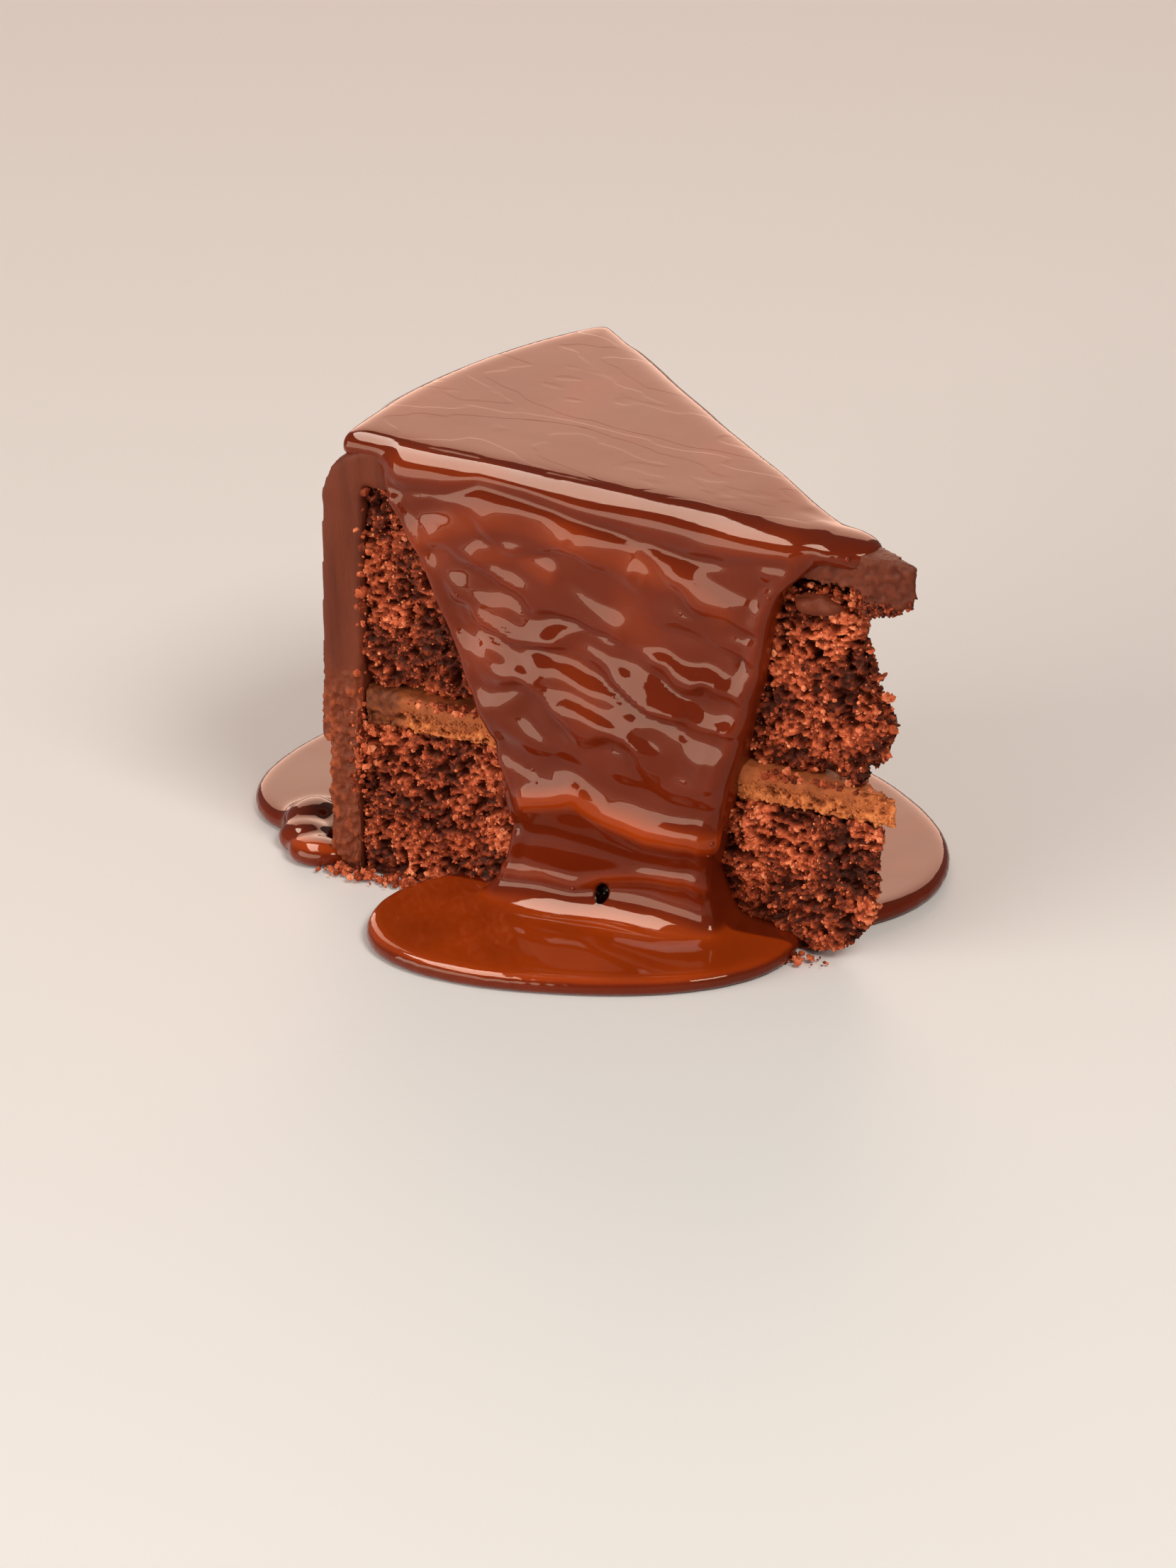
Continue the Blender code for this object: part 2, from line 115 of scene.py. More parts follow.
FOLDS = (
    ((-137, 7, 2), (6, 5, 3.5)),
    ((-131, 2, 2), (7, 4.5, 3)),
    ((-140, 14, 2.5), (5, 7, 4)),
)

# The air hole at the foot of the front sheet: place, radius, depth and stretch, in mm
HOLE = (-63, -5.5, 8.4)
HOLE_RADIUS = 1.5
HOLE_DEPTH = 4
HOLE_STRETCH = 1.3
HOLE_EDGE = 0.05
HOLE_BACK = -9 * MM

# Where loose crumbs lie, in the cake's frame: centre and half sizes in mm, and how many parts of them
LOOSE_CRUMBS = (
    ((-107, -1.5, 0.6), (14, 3, 0.3), 5),
    ((-122, -1.5, 0.8), (8, 2.5, 0.4), 3),
    ((-26, -1, 0.6), (9, 2.5, 0.3), 5),
    ((-98, -1, 39.8), (12, 1.2, 0.3), 3),
    ((-22, -0.5, 39.8), (12, 1.5, 0.3), 3),
    ((-13, 3.5, 81), (3, 2, 2.4), 14),
    ((-20, 1.5, 79), (5, 1.5, 2), 3),
    ((-119.5, -0.8, 28), (2.5, 0.8, 13), 4),
    ((-119.2, -0.6, 60), (1.2, 0.5, 17), 2),
    ((-14.5, 3, 79), (2.2, 2.5, 2.2), 8),
)

# The flow lines of the sauce's top: where its noise steps up and down again
FLOW_STEPS = (
    (0.380, (0, 0, 0)),
    (0.388, (1, 1, 1)),
    (0.450, (1, 1, 1)),
    (0.456, (0.3, 0.3, 0.3)),
    (0.500, (0.3, 0.3, 0.3)),
    (0.507, (0.9, 0.9, 0.9)),
    (0.560, (0.9, 0.9, 0.9)),
    (0.566, (0.2, 0.2, 0.2)),
    (0.620, (0.2, 0.2, 0.2)),
    (0.628, (0.8, 0.8, 0.8)),
)

# The hollow in the crumb under the frosting's broken end, and the frosting left in it: places in mm
HOLLOW = (21, 81.2)
HOLLOW_REACH = (8, 4)
HOLLOW_DEPTH = 6 * MM
HOLLOW_BACK = 8 * MM
HOLLOW_SHADE = 0.95
HOLLOW_FADE = (0.45, 1)
SCRAP = ((-21.5, 0.6, 77.2), (5.2, 2.2, 2.0))
SCRAP_TONE = 0.3
SCRAP_DENT = 0.9 * MM
SCRAP_DENT_SIZE = 2.5 * MM

# The camera, in the cake's frame, with its focal length in pixels of the photograph
CAMERA_PLACE = Vector((429.43, -858.32, 496.85)) * MM
CAMERA_DOWN = math.radians(25.25)
CAMERA_ROLL = math.radians(3.5)
CAMERA_TURN = math.radians(30)
SENSOR_WIDTH = 36
FOCAL_PIXELS = 8000
PHOTO_HEIGHT = 2212

# The room
DAYLIGHT = (1.0, 0.95, 0.88)
SKY_COLOUR = (1.0, 0.93, 0.88)
WALL_COLOUR = (1.0, 0.60, 0.44)
ROOM_COLOUR = (1.0, 0.96, 0.92, 1)
ROOM_STRENGTH = 0.22
LIGHT_AIM = 0.05
FLOOR_REACH = 6
FLOOR_GAP = 0.2 * MM

# The fine grids
SHEET_GRID = 1.2 * MM
SAUCE_GRID = 0.75 * MM
SAUCE_SMOOTH = 22
RELIEF_SMOOTH = 2
SMOOTHING = 0.5
CRUMB_GRID = 0.8 * MM
FILLING_GRID = 0.7 * MM
WELD = 0.004 * MM

# The tint of a surface's gloss
CHOCOLATE_GLOSS = (1.0, 0.74, 0.58, 1)
PLAIN_GLOSS = (1.0, 1.0, 1.0, 1)

# Relief of the front sheet, in mm: ridges and creases as (points (u, z), half width, height or depth),
# craters and bubbles as (u, z, radius)
RIDGES = (
    (((106, 76), (99, 80), (88, 82.5), (77, 82.5), (62, 80.5), (47, 77), (40, 73)), 3.0, 0.65),
    (((79, 26), (69, 29), (62, 26), (53, 24), (43, 24.4), (38, 23.5)), 2.7, 1.5),
    (((110, 90), (93, 91), (75, 90), (58, 89), (38, 88), (24, 88)), 2.6, 0.25),
    (((92, 75), (84, 76.5), (77, 74)), 2.2, 0.6),
    (((85, 9), (76, 10), (69, 9.4), (62, 11.6), (53, 13.7), (45, 14.3), (40, 13)), 1.5, 0.6),
)
TOP_CREASE = (
    *((112, 84), (100, 85.5), (93, 88), (83, 87.4), (74, 86.1)),
    *((62, 84.8), (47, 82.5), (37, 84), (28, 85.5)),
)
CREASES = (
    (TOP_CREASE, 1.3, 0.7),
    (((86, 36), (79, 34), (70, 36), (60, 33), (48, 30), (41, 30)), 2.6, 0.8),
    (((86, 31), (84, 26), (82, 19)), 0.8, 1.0),
    (((82, 19), (74, 20), (64, 19), (54, 17.5), (44, 18)), 2.4, 0.7),
)
CRATERS = (
    *((33.4, 69.2, 1.5), (35.7, 63.6, 1.2), (78.4, 32.7, 1.3)),
    *((31, 78.4, 1.0), (58, 76.5, 1.6), (72, 81, 1.4)),
)
CRATER_RISE = 0.3
CRATER_RIM = 0.35
CRATER_MIDDLE = 0.6
CRATER_REACH = 3
BUBBLES = (
    *((15.5, 88.8, 0.55), (30.2, 78.4, 0.45), (39, 24.5, 0.45), (40, 21.5, 0.35)),
    *((78.4, 32.7, 0.5), (77, 30.5, 0.3), (69, 8.6, 0.4), (96, 66, 0.35)),
)
BUBBLE_CAST = 40 * MM
BUBBLE_WARMTH = 0.5

LINE_EDGE = 2.8
# Painted light on the front sheet's ridges and painted shade in its creases
RIDGE_PAINTED_LIGHT = 1.3
CREASE_PAINTED_SHADE = 0.6

# The ripples of a sheet, in mm. RIPPLE_TURN is the share of a ripple that turns back in. A noise has
# the width and height of its lumps and a seed; a bend has its amount before them; a depth is the
# least, and what is added to it.
RIPPLE_SLANT = 0.3
RIPPLE_HEIGHT = 10.5
RIPPLE_TURN = 0.22
RIPPLE_LEVELS = (25, 38)
RIPPLE_BENDS = ((7, 17, 13, 0), (2.2, 6, 6, 4))
RIPPLE_DEPTH = (0.7, 1.6)
RIPPLE_PATCHES = (10, 8, 7)
PATCH_RANGE = (-0.4, 0.15)
PATCH_DEPTH = (0.3, 0.9)
RIPPLE_FINE = (7, 3.4, 9)
FINE_DEPTH = (0.14, 0.80)
RIPPLE_MIDDLE = 52
RIPPLE_SPREAD = 17
SLOPE_RISE = 2.8
SLOPE_LEVELS = (35, 66)
SLOPE_SINK = 0.6

# The round rim of a sheet, in mm: rise or fall, distance from the edge, half width
RIM_BEAD = (0.6, 1.6, 1.3)
RIM_FURROW = (0.35, 4.2, 1.2)

# How the sauce's relief fades: levels and distances in mm, and shares of the normal
SHEET_LOW = (6, 26)
SHEET_HIGH = (80, 88)
SHEET_INSIDE = (0, 4)
BEAD_LOW = (6, 16)
BEAD_HIGH = (78, 86)
FRONT_FACING = (0.05, 0.5)
FRONT_LOW = (3, 8)
POOL_FACING = (0.5, 0.95)
POOL_LEVELS = (4, 9)
POOL_WAVE = (0.12, 18 * MM)
TOP_WAVE = (0.1, 22 * MM)
SHEET_SEEDS = (3.7, 8.1, 12.3)
# Painted light on sauce that faces up low down and in the front pool
UP_FACING_PAINTED_LIGHT = 1.5
# Share of the front sheet's painted light on ridges and painted shade in creases
FORMS_PAINTED_LIGHT_SHADE = 0.65
FRONT_REACH = 2 * MM
FRONT_FOOT = 2
POOL_TOP = 8
SHEET_DEPTH = 3 * MM
UPRIGHT_FACING = (0.6, 0.95)
WAVE_FACING = (0.6, 0.9)

# The sauce's warmth, from 0 to 1: its middle, the share of its relief's painted light and shade,
# that of cloudy patches, their size, and its least. Then where its top and its shoulder have flow lines.
WARMTH = 0.42
WARMTH_SHARE = 0.28
CLOUD_WARMTH = 0.16
CLOUD_SIZE = 12 * MM
LEAST_WARMTH = 0.1
TOP_LEVELS = (84 * MM, 88 * MM)
FLOW_FACING = (0.95, 0.99)
BAND_FACING = (0.35, 0.6)
BAND_END = (0.93, 0.99)

# Relief of the crumb: sizes of its lumps, heights and depths in mm, and how they change its tone
# with painted light on raised parts and painted shade in creases, pits and caves
CRUMB_FLATNESS = 1.5
COARSE_SIZE = 6.5 * MM
COARSE_RISE = 1.5
PIT_SIZE = 1.9 * MM
PIT_CLUSTER_SIZE = 4.5 * MM
PIT_CLUSTERING = 0.3
PIT_RANGE = (0.56, 0.70)
PIT_DEPTH = 2.2
CAVE_SIZE = 4.2 * MM
CAVE_RANGE = (0.66, 0.78)
KNOB_SIZE = 1.4 * MM
KNOB_ROUGHNESS = 0.7
KNOB_RISE = 0.65
KNOB_LACUNARITY = 2.1
KNOB_OCTAVES = 3
GRAIN_SIZE = 1.0 * MM
GRAIN_RISE = 0.4
GRAIN_MIDDLE = 0.4
CRUMB_SWELL = 0.4
SHADE_SIZE = 9 * MM
SHADE_RANGE = (0.35, 0.7)
CRUMB_TONE = 0.34
# Painted light on raised grains, knobs and lumps and painted shade in their low parts; then random patches
# and the painted shade in pits and caves
GRAIN_PAINTED_LIGHT_SHADE = 0.22
KNOB_PAINTED_LIGHT_SHADE = 0.50
COARSE_PAINTED_LIGHT_SHADE = 0.45
SHADE_TONE = 0.42
PIT_SHADE = 0.92
CAVE_SHADE = 0.8
CRUMB_FOOT = (0.1 * MM, 1.5 * MM)
UNDERSIDE = 2 * MM
FLAT_FACE = 0.9
CRUMB_MARGIN = 3 * MM
CUT_DEPTH = 9 * MM

# Grains and specks: how many, radii in mm, how round, and how much brighter than what they lie on
GRAINS = (2400, (0.24, 0.65), 2, 0.45)
SPECKS = (9000, (0.14, 0.40), 1, 0.6)
GOLDEN = (3000, (0.14, 0.45), 1, 0.3)
SLAB_CRUMBS = (800, (0.16, 0.5), 1, 0.35)
LOOSE = (1100, (0.2, 0.95), 2)
SHAPE_COUNT = 8
SHAPE_SWELLS = ((0.6, 1.3), (0.35, 3.1))
SMALL_POWER = 2.5
LUMP_REACH = 1.6
LUMP_TURN = (0, 6.3)
LUMP_STRETCH = (0.6, 1.3)
LUMP_TOP_LIGHT = 0.1
SUNK = (-0.3, 0.5)
DARK_TONE = 0.14
DARK_SKIPPED = 0.85
DARKER = 0.25
LOOSE_SPREAD = 0.45
LOOSE_TONES = (0.25, 0.95)

# The filling's rough lower edge and the frosting's torn places
EDGE_RISE = (1.2, 4.2)
EDGE_SIZE = 4.5 * MM
EDGE_FADE = (-0.5 * MM, 0.8 * MM)
FILLING_TIP = (-16 * MM, -6 * MM)
FILLING_DARK = (109 * MM, 113 * MM)
TORN_FADE = (-1 * MM, 1 * MM)
TORN_DEPTH = 4.5 * MM
CUT_LOW = (38 * MM, 46 * MM)
CUT_WAVE = 5 * MM
CUT_WAVE_SIZE = 3 * MM
SLAB_TIP = (-26 * MM, -20 * MM)
HIDDEN_EDGE_DROP = 2.6 * MM
HIDDEN_EDGE_START = (-52 * MM, -42 * MM)
HIDDEN_EDGE_END = (-17 * MM, -12 * MM)
HIDDEN_EDGE_DEPTH = 4.5 * MM


# Small helpers


def link(name, data):
    obj = bpy.data.objects.new(name, data)
    bpy.context.scene.collection.objects.link(obj)
    return obj


def bake(obj):
    """Replaces an object's mesh or curve with its evaluated mesh and drops the modifiers."""
    graph = bpy.context.evaluated_depsgraph_get()
    mesh = bpy.data.meshes.new_from_object(obj.evaluated_get(graph))
    mesh.transform(obj.matrix_world)
    made = link(obj.name + "_baked", mesh)
    name = obj.name
    bpy.data.objects.remove(obj)
    made.name = name
    return made


def modified(obj, kind, **settings):
    modifier = obj.modifiers.new(kind.title(), kind)
    for key, value in settings.items():
        setattr(modifier, key, value)
    return bake(obj)


def faces_outwards(obj):
    turn = bmesh.new()
    turn.from_mesh(obj.data)
    bmesh.ops.recalc_face_normals(turn, faces=turn.faces)
    turn.to_mesh(obj.data)
    turn.free()
    return obj


def joined(name, pieces):
    merge = bmesh.new()
    for piece in pieces:
        merge.from_mesh(piece.data)
        bpy.data.objects.remove(piece)
    mesh = bpy.data.meshes.new(name)
    merge.to_mesh(mesh)
    merge.free()
    return link(name, mesh)


def move_points(obj, place):
    """Moves every vertex to place(position, normal)."""
    normals = [vertex.normal.copy() for vertex in obj.data.vertices]
    for vertex, normal in zip(obj.data.vertices, normals):
        vertex.co = place(vertex.co.copy(), normal)
    obj.data.update()
    return obj


def smooth_step(value, start, end):
    share = min(max((value - start) / (end - start), 0), 1)
    return share * share * (3 - 2 * share)


def lumps(point, size, seed):
    """Noise from 0 to 1 whose lumps measure about size."""
    return 0.5 + 0.5 * noise.noise(point / size + Vector((seed, 2 * seed, 3 * seed)))


def grains(point, size, seed):
    """1 in the middle of each grain of about size, and 0 in the creases between grains."""
    near = noise.voronoi(point / size + Vector((seed, seed, seed)))[0]
    return min(1, (near[1] - near[0]) * 1.6) * (1 - 0.5 * near[0])


def set_attribute(obj, name, values):
    attribute = obj.data.attributes.new(name, "FLOAT", "POINT")
    attribute.data.foreach_set("value", values)


# Places


def boxed(point):
    """Keeps a point inside the solid model's box."""
    return Vector([min(max(point[i], cad_box[0][i]), cad_box[1][i]) for i in range(3)])


def to_frame(point, _normal=None):
    """From the frame of the whole cake, upright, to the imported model's frame."""
    share = 1 - FALL * (point.x + MIDDLE_U) / MIDDLE_U + RISE * max(point.y, 0) / MIDDLE_U
    return Vector((point.x + LEAN * point.z, point.y, point.z * share)) - CENTRE


def to_cake(point):
    """The way back: the lean and the fall need each other, so they are worked out in rounds."""
    x, y, z = point + CENTRE
    height = z
    for _ in range(LEAN_ROUNDS):
        across = x - LEAN * height
        height = z / (1 - FALL * (across + MIDDLE_U) / MIDDLE_U + RISE * max(y, 0) / MIDDLE_U)
    return Vector((across, y, height))


def pinch_at(x):
    return 1 - PINCH * math.exp(min(x, 0) / PINCH_REACH)


def pinched(point):
    if point.y > 0:
        point.y *= pinch_at(point.x)
    return point


def on_front(u, z, w):
    return Vector((-u, -w, z))


def on_back(u, z, w):
    along = Vector((-math.cos(SLICE_ANGLE), math.sin(SLICE_ANGLE), 0))
    out = Vector((math.sin(SLICE_ANGLE), math.cos(SLICE_ANGLE), 0))
    return pinched(along * u + out * w + Vector((0, 0, z)))


def on_rim(u, z, w):
    angle = u / CAKE_RADIUS
    radius = CAKE_RADIUS + w
    return pinched(Vector((-radius * math.cos(angle), radius * math.sin(angle), z)))


def back_place(point):
    """(u, w) of a point by the back cut face."""
    y = point.y / pinch_at(point.x) if point.y > 0 else point.y
    u = y * math.sin(SLICE_ANGLE) - point.x * math.cos(SLICE_ANGLE)
    return u, point.x * math.sin(SLICE_ANGLE) + y * math.cos(SLICE_ANGLE)


def rim_place(point):
    y = point.y / pinch_at(point.x) if point.y > 0 else point.y
    return CAKE_RADIUS * math.atan2(y, -point.x), math.hypot(point.x, y) - CAKE_RADIUS


def wedge(radius, spread=0.0, tip_cut=0.0):
    apex = -BISECTOR * (spread / math.sin(HALF_ANGLE))
    over = math.asin(spread / radius)
    front = apex + Vector((-tip_cut, 0))
    back = apex + Vector((-math.cos(SLICE_ANGLE), math.sin(SLICE_ANGLE))) * tip_cut
    angles = [-over + (SLICE_ANGLE + 2 * over) * i / RIM_STEPS for i in range(RIM_STEPS + 1)]
    rim = [Vector((-radius * math.cos(a), radius * math.sin(a))) for a in angles]
    along_back = [rim[-1].lerp(back, (i + 1) / BACK_STEPS) for i in range(BACK_STEPS)]
    return [pinched(point) for point in (front, *rim, *along_back)]


def edge_at(edge, z):
    """u of a sheet's edge at the height z, both in metres."""
    height = z / MM
    for (u_high, high), (u_low, low) in zip(edge, edge[1:]):
        if height >= low:
            share = min((height - low) / (high - low), 1)
            return (u_low + (u_high - u_low) * share) * MM
    return edge[-1][0] * MM


# Solid forms


def prism(name, outline, low, high, rim=0.0):
    """An outline raised from low to high, with rounded edges of the radius rim."""
    curve = bpy.data.curves.new(name, "CURVE")
    curve.dimensions = "2D"
    curve.fill_mode = "BOTH"
    spline = curve.splines.new("POLY")
    spline.points.add(len(outline) - 1)
    for point, (x, y) in zip(spline.points, outline):
        point.co = (x, y, 0, 1)
    spline.use_cyclic_u = True
    curve.extrude = (high - low) / 2 - rim
    curve.bevel_depth = rim
    curve.bevel_resolution = 4
    obj = link(name, curve)
    obj.location.z = (low + high) / 2
    bpy.context.view_layer.update()
    obj = bake(obj)
    weld = bmesh.new()
    weld.from_mesh(obj.data)
    bmesh.ops.remove_doubles(weld, verts=weld.verts, dist=WELD)
    weld.to_mesh(obj.data)
    weld.free()
    return faces_outwards(obj)


def ball(name, centre, radii, segments=24):
    """An ellipsoid with its centre and half sizes in mm."""
    shape = bmesh.new()
    place = Matrix.Diagonal((MM, MM, MM, 1)) @ Matrix.Translation(centre) @ Matrix.Diagonal((*radii, 1))
    bmesh.ops.create_uvsphere(shape, u_segments=segments, v_segments=segments // 2, radius=1, matrix=place)
    mesh = bpy.data.meshes.new(name)
    shape.to_mesh(mesh)
    shape.free()
    return link(name, mesh)


# Sauce


def drape(name, near, far, place, side=SAUCE_SIDE, round_over=SHOULDER, low_taper=CORNER_TAPER):
    """A sheet of sauce between two edges, laid on the face that place() gives."""
    outline = [(u * MM, z * MM) for u, z in (*near, *reversed(far))]
    sheet = prism(name, outline, -SAUCE_INSIDE, 0)
    sheet = modified(sheet, "REMESH", mode="VOXEL", voxel_size=SHEET_GRID)

    def reach(u, z):
        swell = THINNEST + SWELL * lumps(Vector((u, z, 0)), SWELL_SIZE, 2)
        low, high = sorted((edge_at(near, z), edge_at(far, z)))
        at_edge = 1 - smooth_step(min((u - low) / low_taper, (high - u) / CORNER_TAPER), 0, 1)
        at_top = smooth_step(z, *(SAUCE_TOP - share * round_over for share in SHOULDER_FADE))
        swell *= 1 - CORNER_THINNING * at_edge * at_top
        rise = min(max((z - POOL_HEIGHT) / FOOT_ROUND, 0), 1)
        foot = FOOT_ROUND * (1 - math.sqrt(1 - (1 - rise) ** 2))
        foot *= FOOT_AT_EDGE + (1 - FOOT_AT_EDGE) * smooth_step(min(u - low, high - u), *FOOT_EDGE_REACH)
        over = min(max(z - (SAUCE_TOP - round_over), 0), round_over)
        shoulder = round_over - math.sqrt(round_over ** 2 - over ** 2)
        return side * swell + foot - shoulder

    def wrap(point, _normal):
        inside = SAUCE_INSIDE if place == on_rim else min(SAUCE_INSIDE, INSIDE_SHARE * point.x)
        share = (point.z + SAUCE_INSIDE) / SAUCE_INSIDE
        return place(point.x, point.y, share * (reach(point.x, point.y) + inside) - inside)

    return faces_outwards(move_points(sheet, wrap))


def pool(name, centre, reach, turn):
    """A flat round-edged pool with its centre and half sizes in mm, turned by degrees."""
    turned = Matrix.Rotation(math.radians(turn), 2)
    power = 2 / POOL_SQUARENESS
    outline = []
    for i in range(POOL_POINTS):
        angle = 2 * math.pi * i / POOL_POINTS
        along = math.copysign(abs(math.cos(angle)) ** power, math.cos(angle)) * (reach[0] * MM - POOL_RIM)
        across = math.copysign(abs(math.sin(angle)) ** power, math.sin(angle)) * (reach[1] * MM - POOL_RIM)
        outline.append(Vector(centre) * MM + turned @ Vector((along, across)))
    return prism(name, outline, POOL_FOOT, POOL_HEIGHT, POOL_RIM)


def sauce_blank():
    """The cap, nose, sheets, pools and folds of the sauce, not yet fused."""
    cap_outline = wedge(CAKE_RADIUS - CAP_INSET, -CAP_RIM, CAP_TIP_CUT)
    cap = prism("cap", cap_outline, SAUCE_TOP - 2 * CAP_RIM, SAUCE_TOP, CAP_RIM - CAP_UPRIGHT)
    cap = modified(cap, "REMESH", mode="VOXEL", voxel_size=SHEET_GRID)

    def towards_tip(point, _normal):
        """The cap falls and narrows a little towards the point."""
        point.z -= CAP_FALL * smooth_step(point.x, *CAP_FALL_REACH)
        if point.y > CAP_MIDDLE:
            narrowing = CAP_NARROWING * smooth_step(point.x, *CAP_NARROWING_REACH)
            point.y -= narrowing * (point.y - CAP_MIDDLE)
        return point

    move_points(cap, towards_tip)
    nose = ball("nose", *NOSE)
    drapes = [
        drape("front_drape", FRONT_OUTER, FRONT_INNER, on_front),
        drape("back_drape", BACK_INNER, BACK_OUTER, on_back, low_taper=BACK_TAPER),
        drape("rim_drape", RIM_FRONT, RIM_BACK, on_rim, RIM_SIDE, RIM_SHOULDER),
    ]
    pools = [
        pool("front_pool", *FRONT_POOL),
        pool("back_pool", *BACK_POOL),
        pool("rim_pool", *RIM_POOL),
    ]
    folds = [ball(f"fold_{i}", *fold) for i, fold in enumerate(FOLDS)]
    return joined("sauce_look", [cap, nose, *drapes, *pools, *folds])


def line_strength(u, z, points, half_width):
    """1 on a line of points (u, z) in mm, falling to 0 away from it and past its ends."""
    best = math.inf
    here = Vector((u, z)) / MM
    for start, end in zip(points, points[1:]):
        start, end = Vector(start), Vector(end)
        along = end - start
        share = min(max((here - start).dot(along) / along.length_squared, 0), 1)
        best = min(best, (here - start - along * share).length)
    return math.exp(-((best / half_width) ** LINE_EDGE))


def sawtooth(phase):
    """Comes out quickly at the start of each period and goes back in over the rest."""
    share = phase - math.floor(phase)
    if share < RIPPLE_TURN:
        return smooth_step(share, 0, RIPPLE_TURN)
    return (1 - share) / (1 - RIPPLE_TURN)


def patch(across, level, wide, high, seed):
    """Noise over a sheet, from -1 to 1, with lumps of the given width and height."""
    return noise.noise(Vector((across / wide, level / high, seed)))


def ripple(u, z, seed):
    """Slanting ripples of a sheet that runs down, in mm: each comes out slowly on its way down."""
    across, level = u / MM, z / MM
    bend = 0
    for amount, wide, high, shift in RIPPLE_BENDS:
        bend += amount * patch(across, level, wide, high, seed + shift)
    tooth = sawtooth((level - RIPPLE_SLANT * across + bend) / RIPPLE_HEIGHT)
    wide, high, shift = RIPPLE_PATCHES
    patches = smooth_step(patch(across, level, wide, high, seed + shift), *PATCH_RANGE)
    wide, high, shift = RIPPLE_FINE
    fine = patch(across, level - RIPPLE_SLANT * across, wide, high, seed + shift)
    middle = math.exp(-(((level - RIPPLE_MIDDLE) / RIPPLE_SPREAD) ** 2))
    slope = SLOPE_RISE * (1 - smooth_step(level, *SLOPE_LEVELS)) - SLOPE_SINK
    tooth *= (RIPPLE_DEPTH[0] + RIPPLE_DEPTH[1] * middle) * (PATCH_DEPTH[0] + PATCH_DEPTH[1] * patches)
    rippled = tooth + (FINE_DEPTH[0] + FINE_DEPTH[1] * middle) * fine
    return rippled * smooth_step(level, *RIPPLE_LEVELS) + slope


def hump(distance, middle, half_width):
    """1 at the middle, falling to 0 on both sides."""
    return math.exp(-(((distance - middle) / half_width) ** 2))


def edge_bead(u, z, near, far):
    """The round rim of a sheet, in mm, and the distance to its nearest edge."""
    low, high = sorted((edge_at(near, z), edge_at(far, z)))
    inside = min(u - low, high - u) / MM
    rise, *bead = RIM_BEAD
    fall, *furrow = RIM_FURROW
    return rise * hump(inside, *bead) - fall * hump(inside, *furrow), inside


def sheet_relief(u, z, near, far, seed):
    bead, inside = edge_bead(u, z, near, far)
    if inside < -1:
        return 0
    level = z / MM
    shown = smooth_step(level, *SHEET_LOW) * (1 - smooth_step(level, *SHEET_HIGH))
    shown *= smooth_step(inside, *SHEET_INSIDE)
    bead_shown = smooth_step(level, *BEAD_LOW) * (1 - smooth_step(level, *BEAD_HIGH))
    return ripple(u, z, seed) * shown + bead * bead_shown


def front_forms(u, z):
    """(height in mm, warmth) of the folds, creases and craters of the front sheet: the warmth is painted
    light on the ridges and painted shade in the creases.
    """
    height = 0
    warmth = 0
    for points, half_width, rise in RIDGES:
        strength = line_strength(u, z, points, half_width)
        height += rise * strength
        warmth += RIDGE_PAINTED_LIGHT * strength * rise
    for points, half_width, depth in CREASES:
        strength = line_strength(u, z, points, half_width)
        height -= depth * strength
        warmth -= CREASE_PAINTED_SHADE * strength * min(depth, 1)
    for crater_u, crater_z, radius in CRATERS:
        reach = math.hypot(u / MM - crater_u, z / MM - crater_z) / radius
        if reach < CRATER_REACH:
            height += CRATER_RISE * (hump(reach, 1, CRATER_RIM) - hump(reach, 0, CRATER_MIDDLE))
    return height, warmth


def sauce_relief(point, normal):
    """(height in mm, warmth) of the sauce's surface at a point of the cake's frame: the warmth is painted
    light on ridges and on up-facing sauce low down, and painted shade in creases.
    """
    level = point.z / MM
    upright = 1 - smooth_step(normal.z, *UPRIGHT_FACING)
    front_seed, back_seed, rim_seed = SHEET_SEEDS
    facing_up = smooth_step(normal.z, *POOL_FACING)
    if point.y < FRONT_REACH and normal.y < -FRONT_FACING[0] and level > FRONT_FOOT:
        u = -point.x
        share = smooth_step(-normal.y, *FRONT_FACING)
        height, warmth = front_forms(u, point.z)
        height += sheet_relief(u, point.z, FRONT_INNER, FRONT_OUTER, front_seed)
        # Painted light: the up-facing sauce at the foot of the front sheet is painted lighter.
        up_facing_painted_light = facing_up * (1 - smooth_step(level, *POOL_LEVELS))
        warmth = FORMS_PAINTED_LIGHT_SHADE * warmth * share + UP_FACING_PAINTED_LIGHT * up_facing_painted_light
        return height * share * smooth_step(level, *FRONT_LOW), warmth
    if level < POOL_TOP:
        # Painted light: the front pool's up-facing top is painted lighter.
        up_facing_painted_light = facing_up if point.y < 0 else 0
        rise, size = POOL_WAVE
        wave = rise * noise.noise(point / size) * smooth_step(normal.z, *WAVE_FACING)
        return wave, UP_FACING_PAINTED_LIGHT * up_facing_painted_light
    if normal.z > WAVE_FACING[0]:
        rise, size = TOP_WAVE
        return rise * noise.noise(point / size), 0
    u, w = back_place(point)
    if w > -SHEET_DEPTH:
        return sheet_relief(u, point.z, BACK_INNER, BACK_OUTER, back_seed) * upright, 0
    u, w = rim_place(point)
    if w > -SHEET_DEPTH:
        return sheet_relief(u, point.z, RIM_FRONT, RIM_BACK, rim_seed) * upright, 0
    return 0, 0


def without(obj, other):
    """The object less another one's form."""
    modifier = obj.modifiers.new("Cut", "BOOLEAN")
    modifier.operation = "DIFFERENCE"
    modifier.solver = "MANIFOLD"
    modifier.object = other
    cut = bake(obj)
    bpy.data.objects.remove(other)
    return cut


